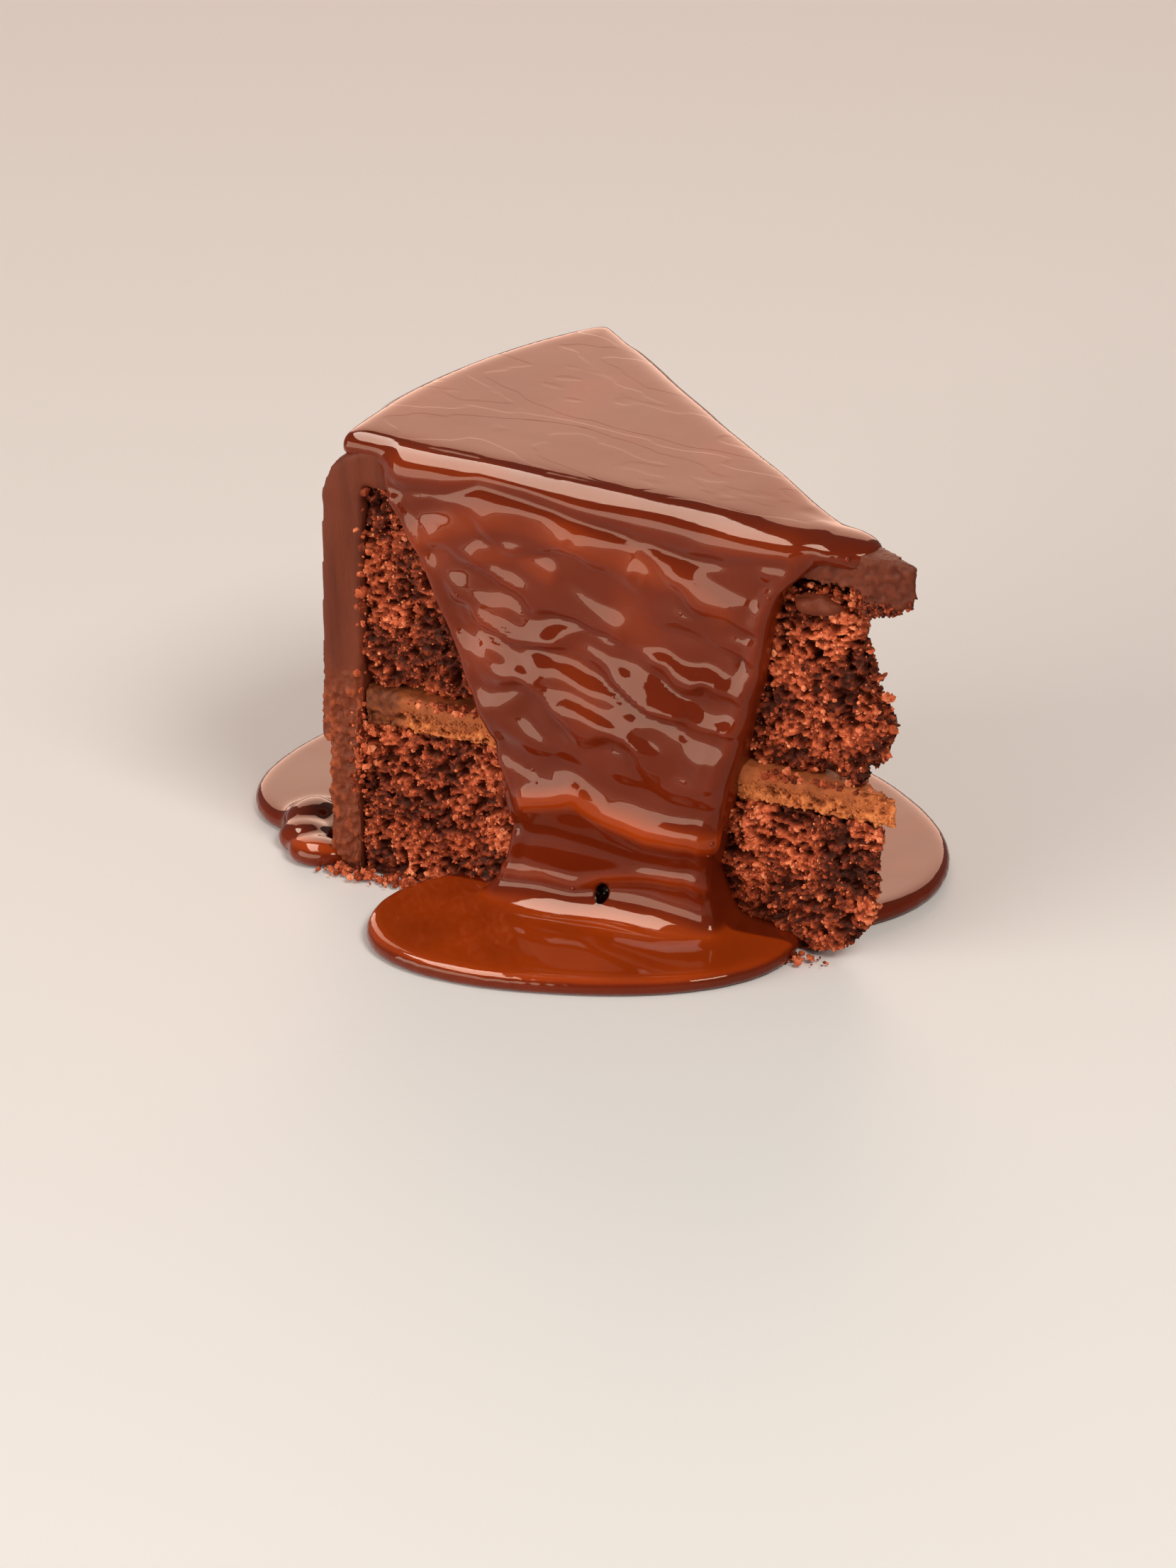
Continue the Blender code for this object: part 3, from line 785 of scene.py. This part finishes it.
def make_bubbles(sauce, look):
    """Tiny round bubbles on the front of the sauce."""
    graph = bpy.context.evaluated_depsgraph_get()
    surface = BVHTree.FromObject(sauce, graph)
    bubbles = []
    for u, z, radius in BUBBLES:
        start = to_frame(on_front(u * MM, z * MM, BUBBLE_CAST))
        hit, _normal, _index, _distance = surface.ray_cast(start, Vector((0, 1, 0)))
        if hit:
            bubbles.append(ball("bubble", hit / MM, (radius, radius, radius), 12))
    made = joined("bubbles", bubbles)
    count = len(made.data.vertices)
    for name, value in (("warmth", BUBBLE_WARMTH), ("flow", 0.0), ("band", 0.0)):
        set_attribute(made, name, [value] * count)
    dressed(made, look, "sauce")


def in_hole(point):
    across = point.x / MM - HOLE[0]
    up = (point.z / MM - HOLE[2]) / HOLE_STRETCH
    return math.hypot(across, up) < HOLE_RADIUS + HOLE_EDGE and HOLE_BACK < point.y < 0


def make_sauce(look):
    sauce = modified(sauce_blank(), "REMESH", mode="VOXEL", voxel_size=SAUCE_GRID)
    sauce = modified(sauce, "SMOOTH", factor=SMOOTHING, iterations=SAUCE_SMOOTH)
    sauce = without(sauce, ball("hole", HOLE, (HOLE_RADIUS, HOLE_DEPTH, HOLE_STRETCH * HOLE_RADIUS)))
    warmth = []
    flow = []
    band = []

    def shape(point, normal):
        height, warm = sauce_relief(point, normal)
        # Inside the air hole the warmth is 0, which the material paints near black: painted shade.
        if in_hole(point):
            warmth.append(0)
            height = 0
        else:
            warm = WARMTH + WARMTH_SHARE * warm + CLOUD_WARMTH * noise.noise(point / CLOUD_SIZE)
            warmth.append(min(max(warm, LEAST_WARMTH), 1))
        high = smooth_step(point.z, *TOP_LEVELS)
        flow.append(high * smooth_step(normal.z, *FLOW_FACING))
        band.append(high * smooth_step(normal.z, *BAND_FACING) * (1 - smooth_step(normal.z, *BAND_END)))
        return boxed(to_frame(point + normal * height * MM))

    move_points(sauce, shape)
    sauce = modified(sauce, "SMOOTH", factor=SMOOTHING, iterations=RELIEF_SMOOTH)
    for name, values in (("warmth", warmth), ("flow", flow), ("band", band)):
        set_attribute(sauce, name, values)
    make_bubbles(sauce, look)
    return dressed(sauce, look, "sauce", "sauce")


# Crumb


def crumb_shows(point):
    """Whether no sauce covers the crumb at a point of the cake's frame."""
    u = -point.x
    if point.y < CUT_DEPTH:
        outer, inner = edge_at(FRONT_OUTER, point.z), edge_at(FRONT_INNER, point.z)
        return u > outer - CRUMB_MARGIN or u < inner + CRUMB_MARGIN
    u, w = back_place(point)
    if w > -CUT_DEPTH:
        outer, inner = edge_at(BACK_OUTER, point.z), edge_at(BACK_INNER, point.z)
        return u < inner + CRUMB_MARGIN or u > outer - CRUMB_MARGIN
    return False


def fine_copy(node, name, grid, shows):
    """A CAD node's form on an even grid, finer wherever it shows."""
    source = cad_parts[node].data.copy()
    obj = modified(link(name, source), "REMESH", mode="VOXEL", voxel_size=grid)
    for _ in range(1):
        shape = bmesh.new()
        shape.from_mesh(obj.data)
        faces = [face for face in shape.faces if shows(to_cake(face.calc_center_median()), face.normal)]
        edges = list({edge for face in faces for edge in face.edges})
        bmesh.ops.subdivide_edges(shape, edges=edges, cuts=1, use_grid_fill=True)
        shape.to_mesh(obj.data)
        shape.free()
    obj.data.update()
    return obj


def crumb_relief(point, seed):
    """(height in mm, tone from 0 dark to 1 bright) of open crumb: the tone is painted light on raised
    knobs, grains and lumps and painted shade in creases, pits and caves, over random patches.
    """
    flat = Vector((point.x, point.y, CRUMB_FLATNESS * point.z))
    coarse = lumps(point, COARSE_SIZE, seed)
    clusters = PIT_CLUSTERING * (lumps(flat, PIT_CLUSTER_SIZE, seed + 1) - 0.5)
    pits = smooth_step(lumps(flat, PIT_SIZE, seed + 3) + clusters, *PIT_RANGE)
    caves = smooth_step(lumps(flat, CAVE_SIZE, seed + 12), *CAVE_RANGE)
    start = Vector((seed, seed, 0))
    knobs = noise.fractal(flat / KNOB_SIZE + start, KNOB_ROUGHNESS, KNOB_LACUNARITY, KNOB_OCTAVES)
    grain = grains(point, GRAIN_SIZE, seed)
    shade = smooth_step(lumps(point, SHADE_SIZE, seed + 6), *SHADE_RANGE)
    hollows = PIT_DEPTH * (pits + caves)
    lifted = KNOB_RISE * knobs + GRAIN_RISE * (grain - GRAIN_MIDDLE) + CRUMB_SWELL
    height = COARSE_RISE * (coarse - 0.5) + lifted - hollows
    # The tone: painted light on raised knobs, grains and lumps, painted shade in their creases, pits and
    # caves, and random patches.
    tone = CRUMB_TONE + GRAIN_PAINTED_LIGHT_SHADE * grain + KNOB_PAINTED_LIGHT_SHADE * knobs + COARSE_PAINTED_LIGHT_SHADE * (coarse - 0.5)
    tone = max(0, tone + SHADE_TONE * (shade - 0.5))
    return height, tone * (1 - PIT_SHADE * pits) * (1 - CAVE_SHADE * caves)


def hollow_at(point):
    """1 in the middle of the hollow under the frosting's broken end, 0 outside it."""
    across = (-point.x / MM - HOLLOW[0]) / HOLLOW_REACH[0]
    up = (point.z / MM - HOLLOW[1]) / HOLLOW_REACH[1]
    return 1 - smooth_step(math.hypot(across, up), *HOLLOW_FADE)


def open_crumb(node, name, look, seed):
    def shows(point, normal):
        return abs(normal.z) < FLAT_FACE and crumb_shows(point)

    obj = fine_copy(node, name, CRUMB_GRID, shows)
    tones = []

    def roughen(point, normal):
        height, tone = crumb_relief(point, seed)
        cake = to_cake(point)
        hollow = hollow_at(cake) if cake.y < HOLLOW_BACK else 0
        share = smooth_step(point.z, *CRUMB_FOOT)
        if abs(normal.z) > FLAT_FACE and point.z < UNDERSIDE:
            share = 0
        tones.append(tone * (1 - HOLLOW_SHADE * hollow))
        moved = point + normal * height * MM * share
        moved.y += HOLLOW_DEPTH * hollow
        return boxed(moved)

    move_points(obj, roughen)
    set_attribute(obj, "tone", tones)
    return dressed(obj, look, "crumb", node)


def grain_shapes(count, detail):
    """Angular little lumps of radius 1."""
    shapes = []
    for i in range(count):
        lump = bmesh.new()
        bmesh.ops.create_icosphere(lump, subdivisions=detail, radius=1)
        points = []
        for vertex in lump.verts:
            here = vertex.co + Vector((9 * i, 3, 5))
            swell = 1
            for amount, pitch in SHAPE_SWELLS:
                swell += amount * noise.noise(here * pitch)
            points.append(vertex.co * swell)
        faces = [[vertex.index for vertex in face.verts] for face in lump.faces]
        lump.free()
        shapes.append((points, faces))
    return shapes


class Heap:
    """Many small lumps gathered into one mesh."""

    def __init__(self, shapes, seed):
        self.shapes = shapes
        self.random = random.Random(seed)
        self.points = []
        self.faces = []
        self.tones = []

    def radius(self, radii):
        """A radius between two, in mm, most often near the smaller."""
        small, large = radii
        return (small + (large - small) * self.random.random() ** SMALL_POWER) * MM

    def add(self, place, radius, tone):
        tone = min(1, max(0, tone))
        shape, faces = self.random.choice(self.shapes)
        turn = Euler([self.random.uniform(*LUMP_TURN) for _ in range(3)]).to_matrix()
        stretch = Vector([radius * self.random.uniform(*LUMP_STRETCH) for _ in range(3)])
        start = len(self.points)
        for point in shape:
            moved = place + turn @ Vector((point.x * stretch.x, point.y * stretch.y, point.z * stretch.z))
            self.points.append(moved)
            self.tones.append(tone + LUMP_TOP_LIGHT * point.z)
        self.faces += [[start + i for i in face] for face in faces]

    def make(self, name, look, slot):
        mesh = bpy.data.meshes.new(name)
        mesh.from_pydata(self.points, [], self.faces)
        obj = link(name, mesh)
        set_attribute(obj, "tone", self.tones)
        dressed(obj, look, slot)
        obj.data.shade_flat()


def clamped(place, radius):
    """Keeps a grain inside the solid model's box."""
    margin = LUMP_REACH * radius
    for axis in range(3):
        place[axis] = min(max(place[axis], cad_box[0][axis] + margin), cad_box[1][axis] - margin)
    return place


def scatter(name, look, slot, surface, shows, kind, seed):
    """One piece of grains sunk into a surface wherever shows(point, normal) is true."""
    count, radii, detail, bright = kind
    heap = Heap(grain_shapes(SHAPE_COUNT, detail), seed)
    mesh = surface.data
    tone_of = [item.value for item in mesh.attributes["tone"].data]
    faces = [face for face in mesh.polygons if shows(to_cake(face.center), face.normal)]
    chosen = heap.random.choices(faces, weights=[face.area for face in faces], k=count)
    for face in chosen:
        corners = [mesh.vertices[i].co for i in face.vertices]
        share = heap.random.random()
        place = corners[0].lerp(corners[1], share).lerp(corners[2], heap.random.random() * 0.7)
        tone = tone_of[face.vertices[0]]
        if tone < DARK_TONE and heap.random.random() < DARK_SKIPPED:
            continue
        radius = heap.radius(radii)
        place = place + face.normal * heap.random.uniform(*SUNK) * radius
        heap.add(clamped(place, radius), radius, tone + heap.random.uniform(-DARKER, bright))
    heap.make(name, look, slot)


def loose_crumbs(name, look, places, kind, seed):
    """Crumbs lying in patches: (centre in the cake's frame, half sizes, how many parts of the count)."""
    count, radii, detail = kind
    heap = Heap(grain_shapes(SHAPE_COUNT, detail), seed)
    weights = [parts for _centre, _reach, parts in places]
    for centre, reach, _parts in heap.random.choices(places, weights=weights, k=count):
        radius = heap.radius(radii)
        offset = [heap.random.gauss(0, LOOSE_SPREAD) * half for half in reach]
        place = to_frame((Vector(centre) + Vector(offset)) * MM)
        heap.add(clamped(place, radius), radius, heap.random.uniform(*LOOSE_TONES))
    heap.make(name, look, "crumb")


# Filling


def filling_shows(point, _normal):
    return crumb_shows(point)


def make_filling(look):
    """The filling, smooth above and rough and golden along its lower edge and at its tip."""
    obj = fine_copy("filling", "filling_look", FILLING_GRID, filling_shows)
    tones = []

    def roughen(point, normal):
        cake = to_cake(point)
        edge = LOWER_TOP + (EDGE_RISE[0] + EDGE_RISE[1] * lumps(cake, EDGE_SIZE, 2)) * MM
        low = 1 - smooth_step(cake.z - edge, *EDGE_FADE)
        rough = max(low, 0.8 * smooth_step(cake.x, *FILLING_TIP))
        if abs(normal.z) > FLAT_FACE:
            rough *= 0.5
        knobs = noise.fractal(cake / (1.6 * MM), 0.8, 2.1, 3)
        pits = smooth_step(lumps(cake, 1.7 * MM, 6), 0.56, 0.7) * rough
        height = (0.45 * (grains(point, 1.0 * MM, 3) - 0.5) + 0.7 * knobs - 0.4) * rough - 1.2 * pits
        height += 0.9 * (lumps(point, 3.2 * MM, 8) - 0.5) + 0.3 * (1 - rough)
        cloud = 0.3 * (lumps(point, 5 * MM, 5) - 0.5)
        # The tone: golden where rough, painted light on raised knobs and painted shade in pits along the
        # rough parts, and random clouds.
        tone = 0.36 + 0.42 * rough + 0.3 * knobs * rough + cloud - 0.5 * pits
        tones.append(max(0, tone * (1 - 0.85 * smooth_step(-cake.x, *FILLING_DARK))))
        return point + normal * height * MM

    move_points(obj, roughen)
    set_attribute(obj, "tone", tones)
    return dressed(obj, look, "filling", "filling")


# Frosting


def frosting_shows(point, _normal):
    near_front = point.y < 3 * MM and point.x < -114 * MM
    near_tip = point.x > SLAB_TIP[0]
    return near_front or near_tip


def frosting_roughness(cake, point, normal):
    """(how rough the frosting is, how much of that is the slab's broken end), from 0 to 1."""
    around, out = rim_place(cake)
    torn_edge = TORN_HEIGHT * (1 - (max(around, 0) / TORN_REACH) ** 3)
    torn = smooth_step(torn_edge - cake.z, *TORN_FADE) if out > -TORN_DEPTH else 0
    on_cut = normal.y < -0.4 and cake.x < -100 * MM
    low_edge = CUT_LOW[1] + CUT_WAVE * noise.noise(point / CUT_WAVE_SIZE)
    low = on_cut * (1 - smooth_step(cake.z, CUT_LOW[0], low_edge))
    tip = smooth_step(cake.x, *SLAB_TIP) * (1 - smooth_step(normal.z, 0.2, 0.6))
    broken = 0.22 + 0.78 * smooth_step(-normal.z, -0.1, 0.5)
    return max(0.7 * torn, low, tip * broken), tip


def make_frosting(look):
    """The frosting: streaked where it was spread, crumbly where it is torn or broken."""
    obj = fine_copy("frosting", "frosting_look", CRUMB_GRID, frosting_shows)
    tones = []

    def roughen(point, normal):
        cake = to_cake(point)
        rough, tip = frosting_roughness(cake, point, normal)
        streak = noise.noise(Vector((point.x, point.y, cake.z / 9)) / (3.2 * MM))
        smear = noise.noise(Vector((point.x, point.y, cake.z / 3)) / (6 * MM))
        knobs = noise.fractal(point / (1.9 * MM), 0.8, 2.1, 3)
        fine = noise.noise(point / (1.1 * MM)) * tip * (normal.y < -0.3)
        lumpy = 0.7 * (grains(point, 1.3 * MM, 6) - 0.5) + 1.2 * (lumps(point, 3 * MM, 4) - 0.5)
        height = (0.25 * streak + 0.45 * smear) * (1 - rough) * (normal.z < 0.5)
        height += rough * (lumpy + 0.7 * knobs) + 0.25 * fine
        torn_tone = 0.3 + 0.7 * min(1, rough * (0.75 + 0.6 * knobs))
        tip_tone = 0.20 + 0.2 * max(0, knobs) + 0.25 * max(-0.3, fine)
        tones.append(torn_tone * (1 - tip) + tip_tone * tip)
        moved = point + normal * height * MM
        if cake.z > UPPER_TOP:
            _u, back = back_place(cake)
            covered = smooth_step(cake.x, *HIDDEN_EDGE_START)
            covered *= 1 - smooth_step(cake.x, *HIDDEN_EDGE_END)
            moved.z -= HIDDEN_EDGE_DROP * covered * smooth_step(back, -HIDDEN_EDGE_DEPTH, 0)
        return boxed(moved)

    move_points(obj, roughen)
    set_attribute(obj, "tone", tones)
    return dressed(obj, look, "frosting", "frosting")


def frosting_scrap(look):
    """The smooth scrap of frosting that clings to the crumb in the hollow."""
    scrap = ball("frosting_scrap", *SCRAP, 48)

    def dent(point, normal):
        return to_frame(point + normal * SCRAP_DENT * noise.noise(point / SCRAP_DENT_SIZE))

    move_points(scrap, dent)
    set_attribute(scrap, "tone", [SCRAP_TONE] * len(scrap.data.vertices))
    dressed(scrap, look, "frosting")


# Materials


def new_look(name, roughness, specular, tint=CHOCOLATE_GLOSS):
    look = bpy.data.materials.new(name)
    look.use_nodes = True
    shader = look.node_tree.nodes["Principled BSDF"]
    shader.inputs["Roughness"].default_value = roughness
    shader.inputs["Specular IOR Level"].default_value = specular
    shader.inputs["Specular Tint"].default_value = tint
    return look, look.node_tree.nodes, look.node_tree.links, shader


def add_node(nodes, kind, **inputs):
    node = nodes.new(kind)
    for key, value in inputs.items():
        node.inputs[key.replace("_", " ")].default_value = value
    return node


def noise_node(nodes, links, scale, detail=3.0, stretch=(1, 1, 1)):
    """Noise over the object's own place, with scale in lumps a metre."""
    place = nodes.new("ShaderNodeTexCoord")
    mapping = nodes.new("ShaderNodeMapping")
    mapping.inputs["Scale"].default_value = stretch
    links.new(place.outputs["Object"], mapping.inputs["Vector"])
    made = add_node(nodes, "ShaderNodeTexNoise", Scale=scale, Detail=detail)
    links.new(mapping.outputs["Vector"], made.inputs["Vector"])
    return made.outputs["Fac"]


def ramp_node(nodes, links, value, stops):
    ramp = nodes.new("ShaderNodeValToRGB")
    elements = ramp.color_ramp.elements
    while len(elements) < len(stops):
        elements.new(0.5)
    for element, (position, colour) in zip(elements, stops):
        element.position = position
        element.color = (*colour, 1)
    links.new(value, ramp.inputs["Fac"])
    return ramp.outputs["Color"]


def mix_values(nodes, links, first, second, share):
    mix = nodes.new("ShaderNodeMix")
    mix.inputs["Factor"].default_value = share
    links.new(first, mix.inputs["A"])
    links.new(second, mix.inputs["B"])
    return mix.outputs["Result"]


def attribute_node(nodes, name):
    node = nodes.new("ShaderNodeAttribute")
    node.attribute_name = name
    return node.outputs["Fac"]


def bump(nodes, links, shader, height, distance, strength=1.0, before=None):
    node = add_node(nodes, "ShaderNodeBump", Strength=strength, Distance=distance)
    links.new(height, node.inputs["Height"])
    if before:
        links.new(before, node.inputs["Normal"])
    links.new(node.outputs["Normal"], shader.inputs["Normal"])
    return node.outputs["Normal"]


def crumb_material():
    look, nodes, links, shader = new_look("crumb", 0.5, 0.12)
    tone = attribute_node(nodes, "tone")
    speckle = noise_node(nodes, links, 1100, 4)
    mixed = mix_values(nodes, links, tone, speckle, 0.25)
    # Dark stops show the painted shade of pits and caves, bright stops partly the painted light on raised
    # crumb.
    stops = (
        (0.06, (0.012, 0.003, 0.002)),
        (0.26, (0.082, 0.012, 0.005)),
        (0.48, (0.260, 0.041, 0.014)),
        (0.70, (0.550, 0.113, 0.043)),
        (0.95, (0.850, 0.290, 0.138)),
    )
    links.new(ramp_node(nodes, links, mixed, stops), shader.inputs["Base Color"])
    bump(nodes, links, shader, noise_node(nodes, links, 2400, 3), 0.2 * MM, 0.7)
    return look


def filling_material():
    look, nodes, links, shader = new_look("filling", 0.5, 0.14)
    tone = attribute_node(nodes, "tone")
    speckle = noise_node(nodes, links, 900, 4)
    mixed = mix_values(nodes, links, tone, speckle, 0.35)
    stops = (
        (0.16, (0.085, 0.019, 0.008)),
        (0.36, (0.310, 0.078, 0.024)),
        (0.55, (0.420, 0.112, 0.034)),
        (0.72, (0.590, 0.175, 0.052)),
        (0.95, (0.780, 0.300, 0.105)),
    )
    links.new(ramp_node(nodes, links, mixed, stops), shader.inputs["Base Color"])
    bump(nodes, links, shader, noise_node(nodes, links, 1800, 3), 0.25 * MM, 0.6)
    return look


def frosting_material():
    look, nodes, links, shader = new_look("frosting", 0.45, 0.16)
    tone = attribute_node(nodes, "tone")
    streaks = noise_node(nodes, links, 260, 4, (1, 1, 0.12))
    mixed = mix_values(nodes, links, tone, streaks, 0.4)
    stops = (
        (0.18, (0.050, 0.010, 0.006)),
        (0.38, (0.130, 0.026, 0.012)),
        (0.55, (0.150, 0.030, 0.012)),
        (0.70, (0.170, 0.034, 0.013)),
        (0.92, (0.400, 0.080, 0.027)),
    )
    links.new(ramp_node(nodes, links, mixed, stops), shader.inputs["Base Color"])
    bump(nodes, links, shader, noise_node(nodes, links, 1500, 3, (1, 1, 0.25)), 0.2 * MM, 0.8)
    return look


def math_node(nodes, links, operation, first, second):
    node = nodes.new("ShaderNodeMath")
    node.operation = operation
    for socket, value in zip(node.inputs, (first, second)):
        if isinstance(value, (int, float)):
            socket.default_value = value
        else:
            links.new(value, socket)
    return node.outputs["Value"]


def sauce_material():
    """Poured sauce, with jagged flow lines on its top and fine lines along its shoulder."""
    look, nodes, links, shader = new_look("sauce", 0.05, 0.32)
    shader.inputs["Subsurface Weight"].default_value = 0.45
    shader.inputs["Subsurface Radius"].default_value = (1.0, 0.3, 0.1)
    shader.inputs["Subsurface Scale"].default_value = 3 * MM
    warmth = attribute_node(nodes, "warmth")
    # The first stop, for warmth 0, paints the inside of the air hole near black: painted shade.
    stops = (
        (0.00, (0.005, 0.001, 0.001)),
        (0.08, (0.080, 0.008, 0.002)),
        (0.45, (0.138, 0.014, 0.003)),
        (0.95, (0.400, 0.050, 0.004)),
    )
    links.new(ramp_node(nodes, links, warmth, stops), shader.inputs["Base Color"])
    field = noise_node(nodes, links, 26, 3.5, (0.45, 1.3, 0))
    terraces = ramp_node(nodes, links, field, FLOW_STEPS)
    flow = math_node(nodes, links, "MULTIPLY", terraces, attribute_node(nodes, "flow"))
    fine = noise_node(nodes, links, 900, 2, (0.04, 1, 1))
    lines = math_node(nodes, links, "MULTIPLY", fine, attribute_node(nodes, "band"))
    height = math_node(nodes, links, "ADD", flow, math_node(nodes, links, "MULTIPLY", lines, 0.35))
    relief = add_node(nodes, "ShaderNodeBump", Strength=0.22, Distance=0.22 * MM)
    links.new(height, relief.inputs["Height"])
    bump(nodes, links, shader, noise_node(nodes, links, 130, 2), 0.3 * MM, 0.15, relief.outputs["Normal"])
    return look


def dressed(obj, look, slot, *replaced):
    obj.data.materials.clear()
    obj.data.materials.append(look)
    obj.data.shade_smooth()
    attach(obj, "root")
    for node in replaced:
        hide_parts(node)
    return obj


# Surroundings


def make_floor():
    mesh = bpy.data.meshes.new("floor")
    corners = [(x * FLOOR_REACH, y * FLOOR_REACH, 0) for x, y in ((-1, -1), (1, -1), (1, 1), (-1, 1))]
    mesh.from_pydata(corners, [], [(0, 1, 2, 3)])
    floor = link("floor", mesh)
    floor.location.z = -FLOOR_GAP
    look, _nodes, _links, shader = new_look("floor", 0.6, 0.3, PLAIN_GLOSS)
    shader.inputs["Base Color"].default_value = (0.86, 0.85, 0.83, 1)
    mesh.materials.append(look)


def softbox(name, azimuth, elevation, distance, width, height, radiance, colour):
    """A soft light that faces the slice from a compass angle and a height angle, in degrees."""
    light = bpy.data.lights.new(name, "AREA")
    light.shape = "RECTANGLE"
    light.size = width
    light.size_y = height
    light.energy = radiance * math.pi * width * height
    light.color = colour
    lamp = link(name, light)
    around, up = math.radians(azimuth), math.radians(elevation)
    out = Vector((math.cos(up) * math.cos(around), math.cos(up) * math.sin(around), math.sin(up)))
    lamp.location = out * distance + Vector((0, 0, LIGHT_AIM))
    lamp.rotation_euler = out.to_track_quat("Z", "Y").to_euler()
    lamp.visible_camera = False
    return lamp


def make_lights():
    """Two soft lights on the front, and two that show only as reflections in the sauce."""
    softbox("window", -120, 13, 1.4, 1.55, 0.66, 6.0, DAYLIGHT)
    softbox("key", -30, 45, 1.5, 0.5, 0.45, 17.0, DAYLIGHT)
    sky = softbox("skylight", -164, 62, 1.5, 1.35, 0.5, 15.0, SKY_COLOUR)
    wall = softbox("back_wall", 120, 24, 1.8, 1.6, 1.4, 3.95, WALL_COLOUR)
    for lamp in (sky, wall):
        lamp.visible_diffuse = False
    world = bpy.data.worlds.new("room")
    world.use_nodes = True
    background = world.node_tree.nodes["Background"]
    background.inputs["Color"].default_value = ROOM_COLOUR
    background.inputs["Strength"].default_value = ROOM_STRENGTH
    bpy.context.scene.world = world


def make_camera():
    """The photograph's own view: turned round the slice, looking down, and tilted a little."""
    forward = Vector((0, math.cos(CAMERA_DOWN), -math.sin(CAMERA_DOWN)))
    side = Vector((1, 0, 0))
    above = side.cross(forward)
    right = side * math.cos(CAMERA_ROLL) - above * math.sin(CAMERA_ROLL)
    up = above * math.cos(CAMERA_ROLL) + side * math.sin(CAMERA_ROLL)
    spin = Matrix.Rotation(CAMERA_TURN, 3, "Z")
    place = Matrix((spin @ right, spin @ up, spin @ -forward)).transposed().to_4x4()
    place.translation = CAMERA_PLACE - CENTRE
    data = bpy.data.cameras.new("camera")
    data.sensor_width = SENSOR_WIDTH
    data.lens = SENSOR_WIDTH * FOCAL_PIXELS / PHOTO_HEIGHT
    camera = link("camera", data)
    camera.matrix_world = place
    bpy.context.scene.camera = camera


def grains_show(point, normal):
    return abs(normal.z) < 0.85 and point.z > 0.5 * MM and crumb_shows(point)


def golden_edge(point, normal):
    rough_edge = abs(normal.z) < FLAT_FACE and (point.z < LOWER_TOP + 5 * MM or point.x > -12 * MM)
    return rough_edge and point.x > -110 * MM and crumb_shows(point)


def broken_end_underside(point, normal):
    low = point.z < UPPER_TOP - 1.8 * MM or normal.z < -0.35
    return low and point.x > -18 * MM and point.z < UPPER_TOP + 1 * MM and normal.z < 0.3


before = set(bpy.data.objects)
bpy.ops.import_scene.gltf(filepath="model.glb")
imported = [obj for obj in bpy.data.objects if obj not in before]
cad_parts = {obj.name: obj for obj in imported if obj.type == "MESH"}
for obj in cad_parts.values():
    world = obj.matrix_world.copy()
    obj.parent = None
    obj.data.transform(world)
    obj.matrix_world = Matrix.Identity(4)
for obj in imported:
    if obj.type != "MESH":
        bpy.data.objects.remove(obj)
cad_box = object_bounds()
crumb_look = crumb_material()
lower = open_crumb("sponge_lower", "lower_crumb", crumb_look, 3)
upper = open_crumb("sponge_upper", "upper_crumb", crumb_look, 17)
for layer, label, seed in ((lower, "lower", 1), (upper, "upper", 2)):
    scatter(f"{label}_grains", crumb_look, "crumb", layer, grains_show, GRAINS, seed)
    scatter(f"{label}_specks", crumb_look, "crumb", layer, grains_show, SPECKS, seed + 10)
loose_crumbs("loose_crumbs", crumb_look, LOOSE_CRUMBS, LOOSE, 5)
filling_look = filling_material()
filling = make_filling(filling_look)
scatter("filling_grains", filling_look, "filling", filling, golden_edge, GOLDEN, 21)
frosting_look = frosting_material()
frosting = make_frosting(frosting_look)
frosting_scrap(frosting_look)
scatter("slab_crumbs", crumb_look, "crumb", frosting, broken_end_underside, SLAB_CRUMBS, 31)
make_sauce(sauce_material())
make_floor()
make_lights()
make_camera()
bpy.context.scene.view_settings.view_transform = "Standard"
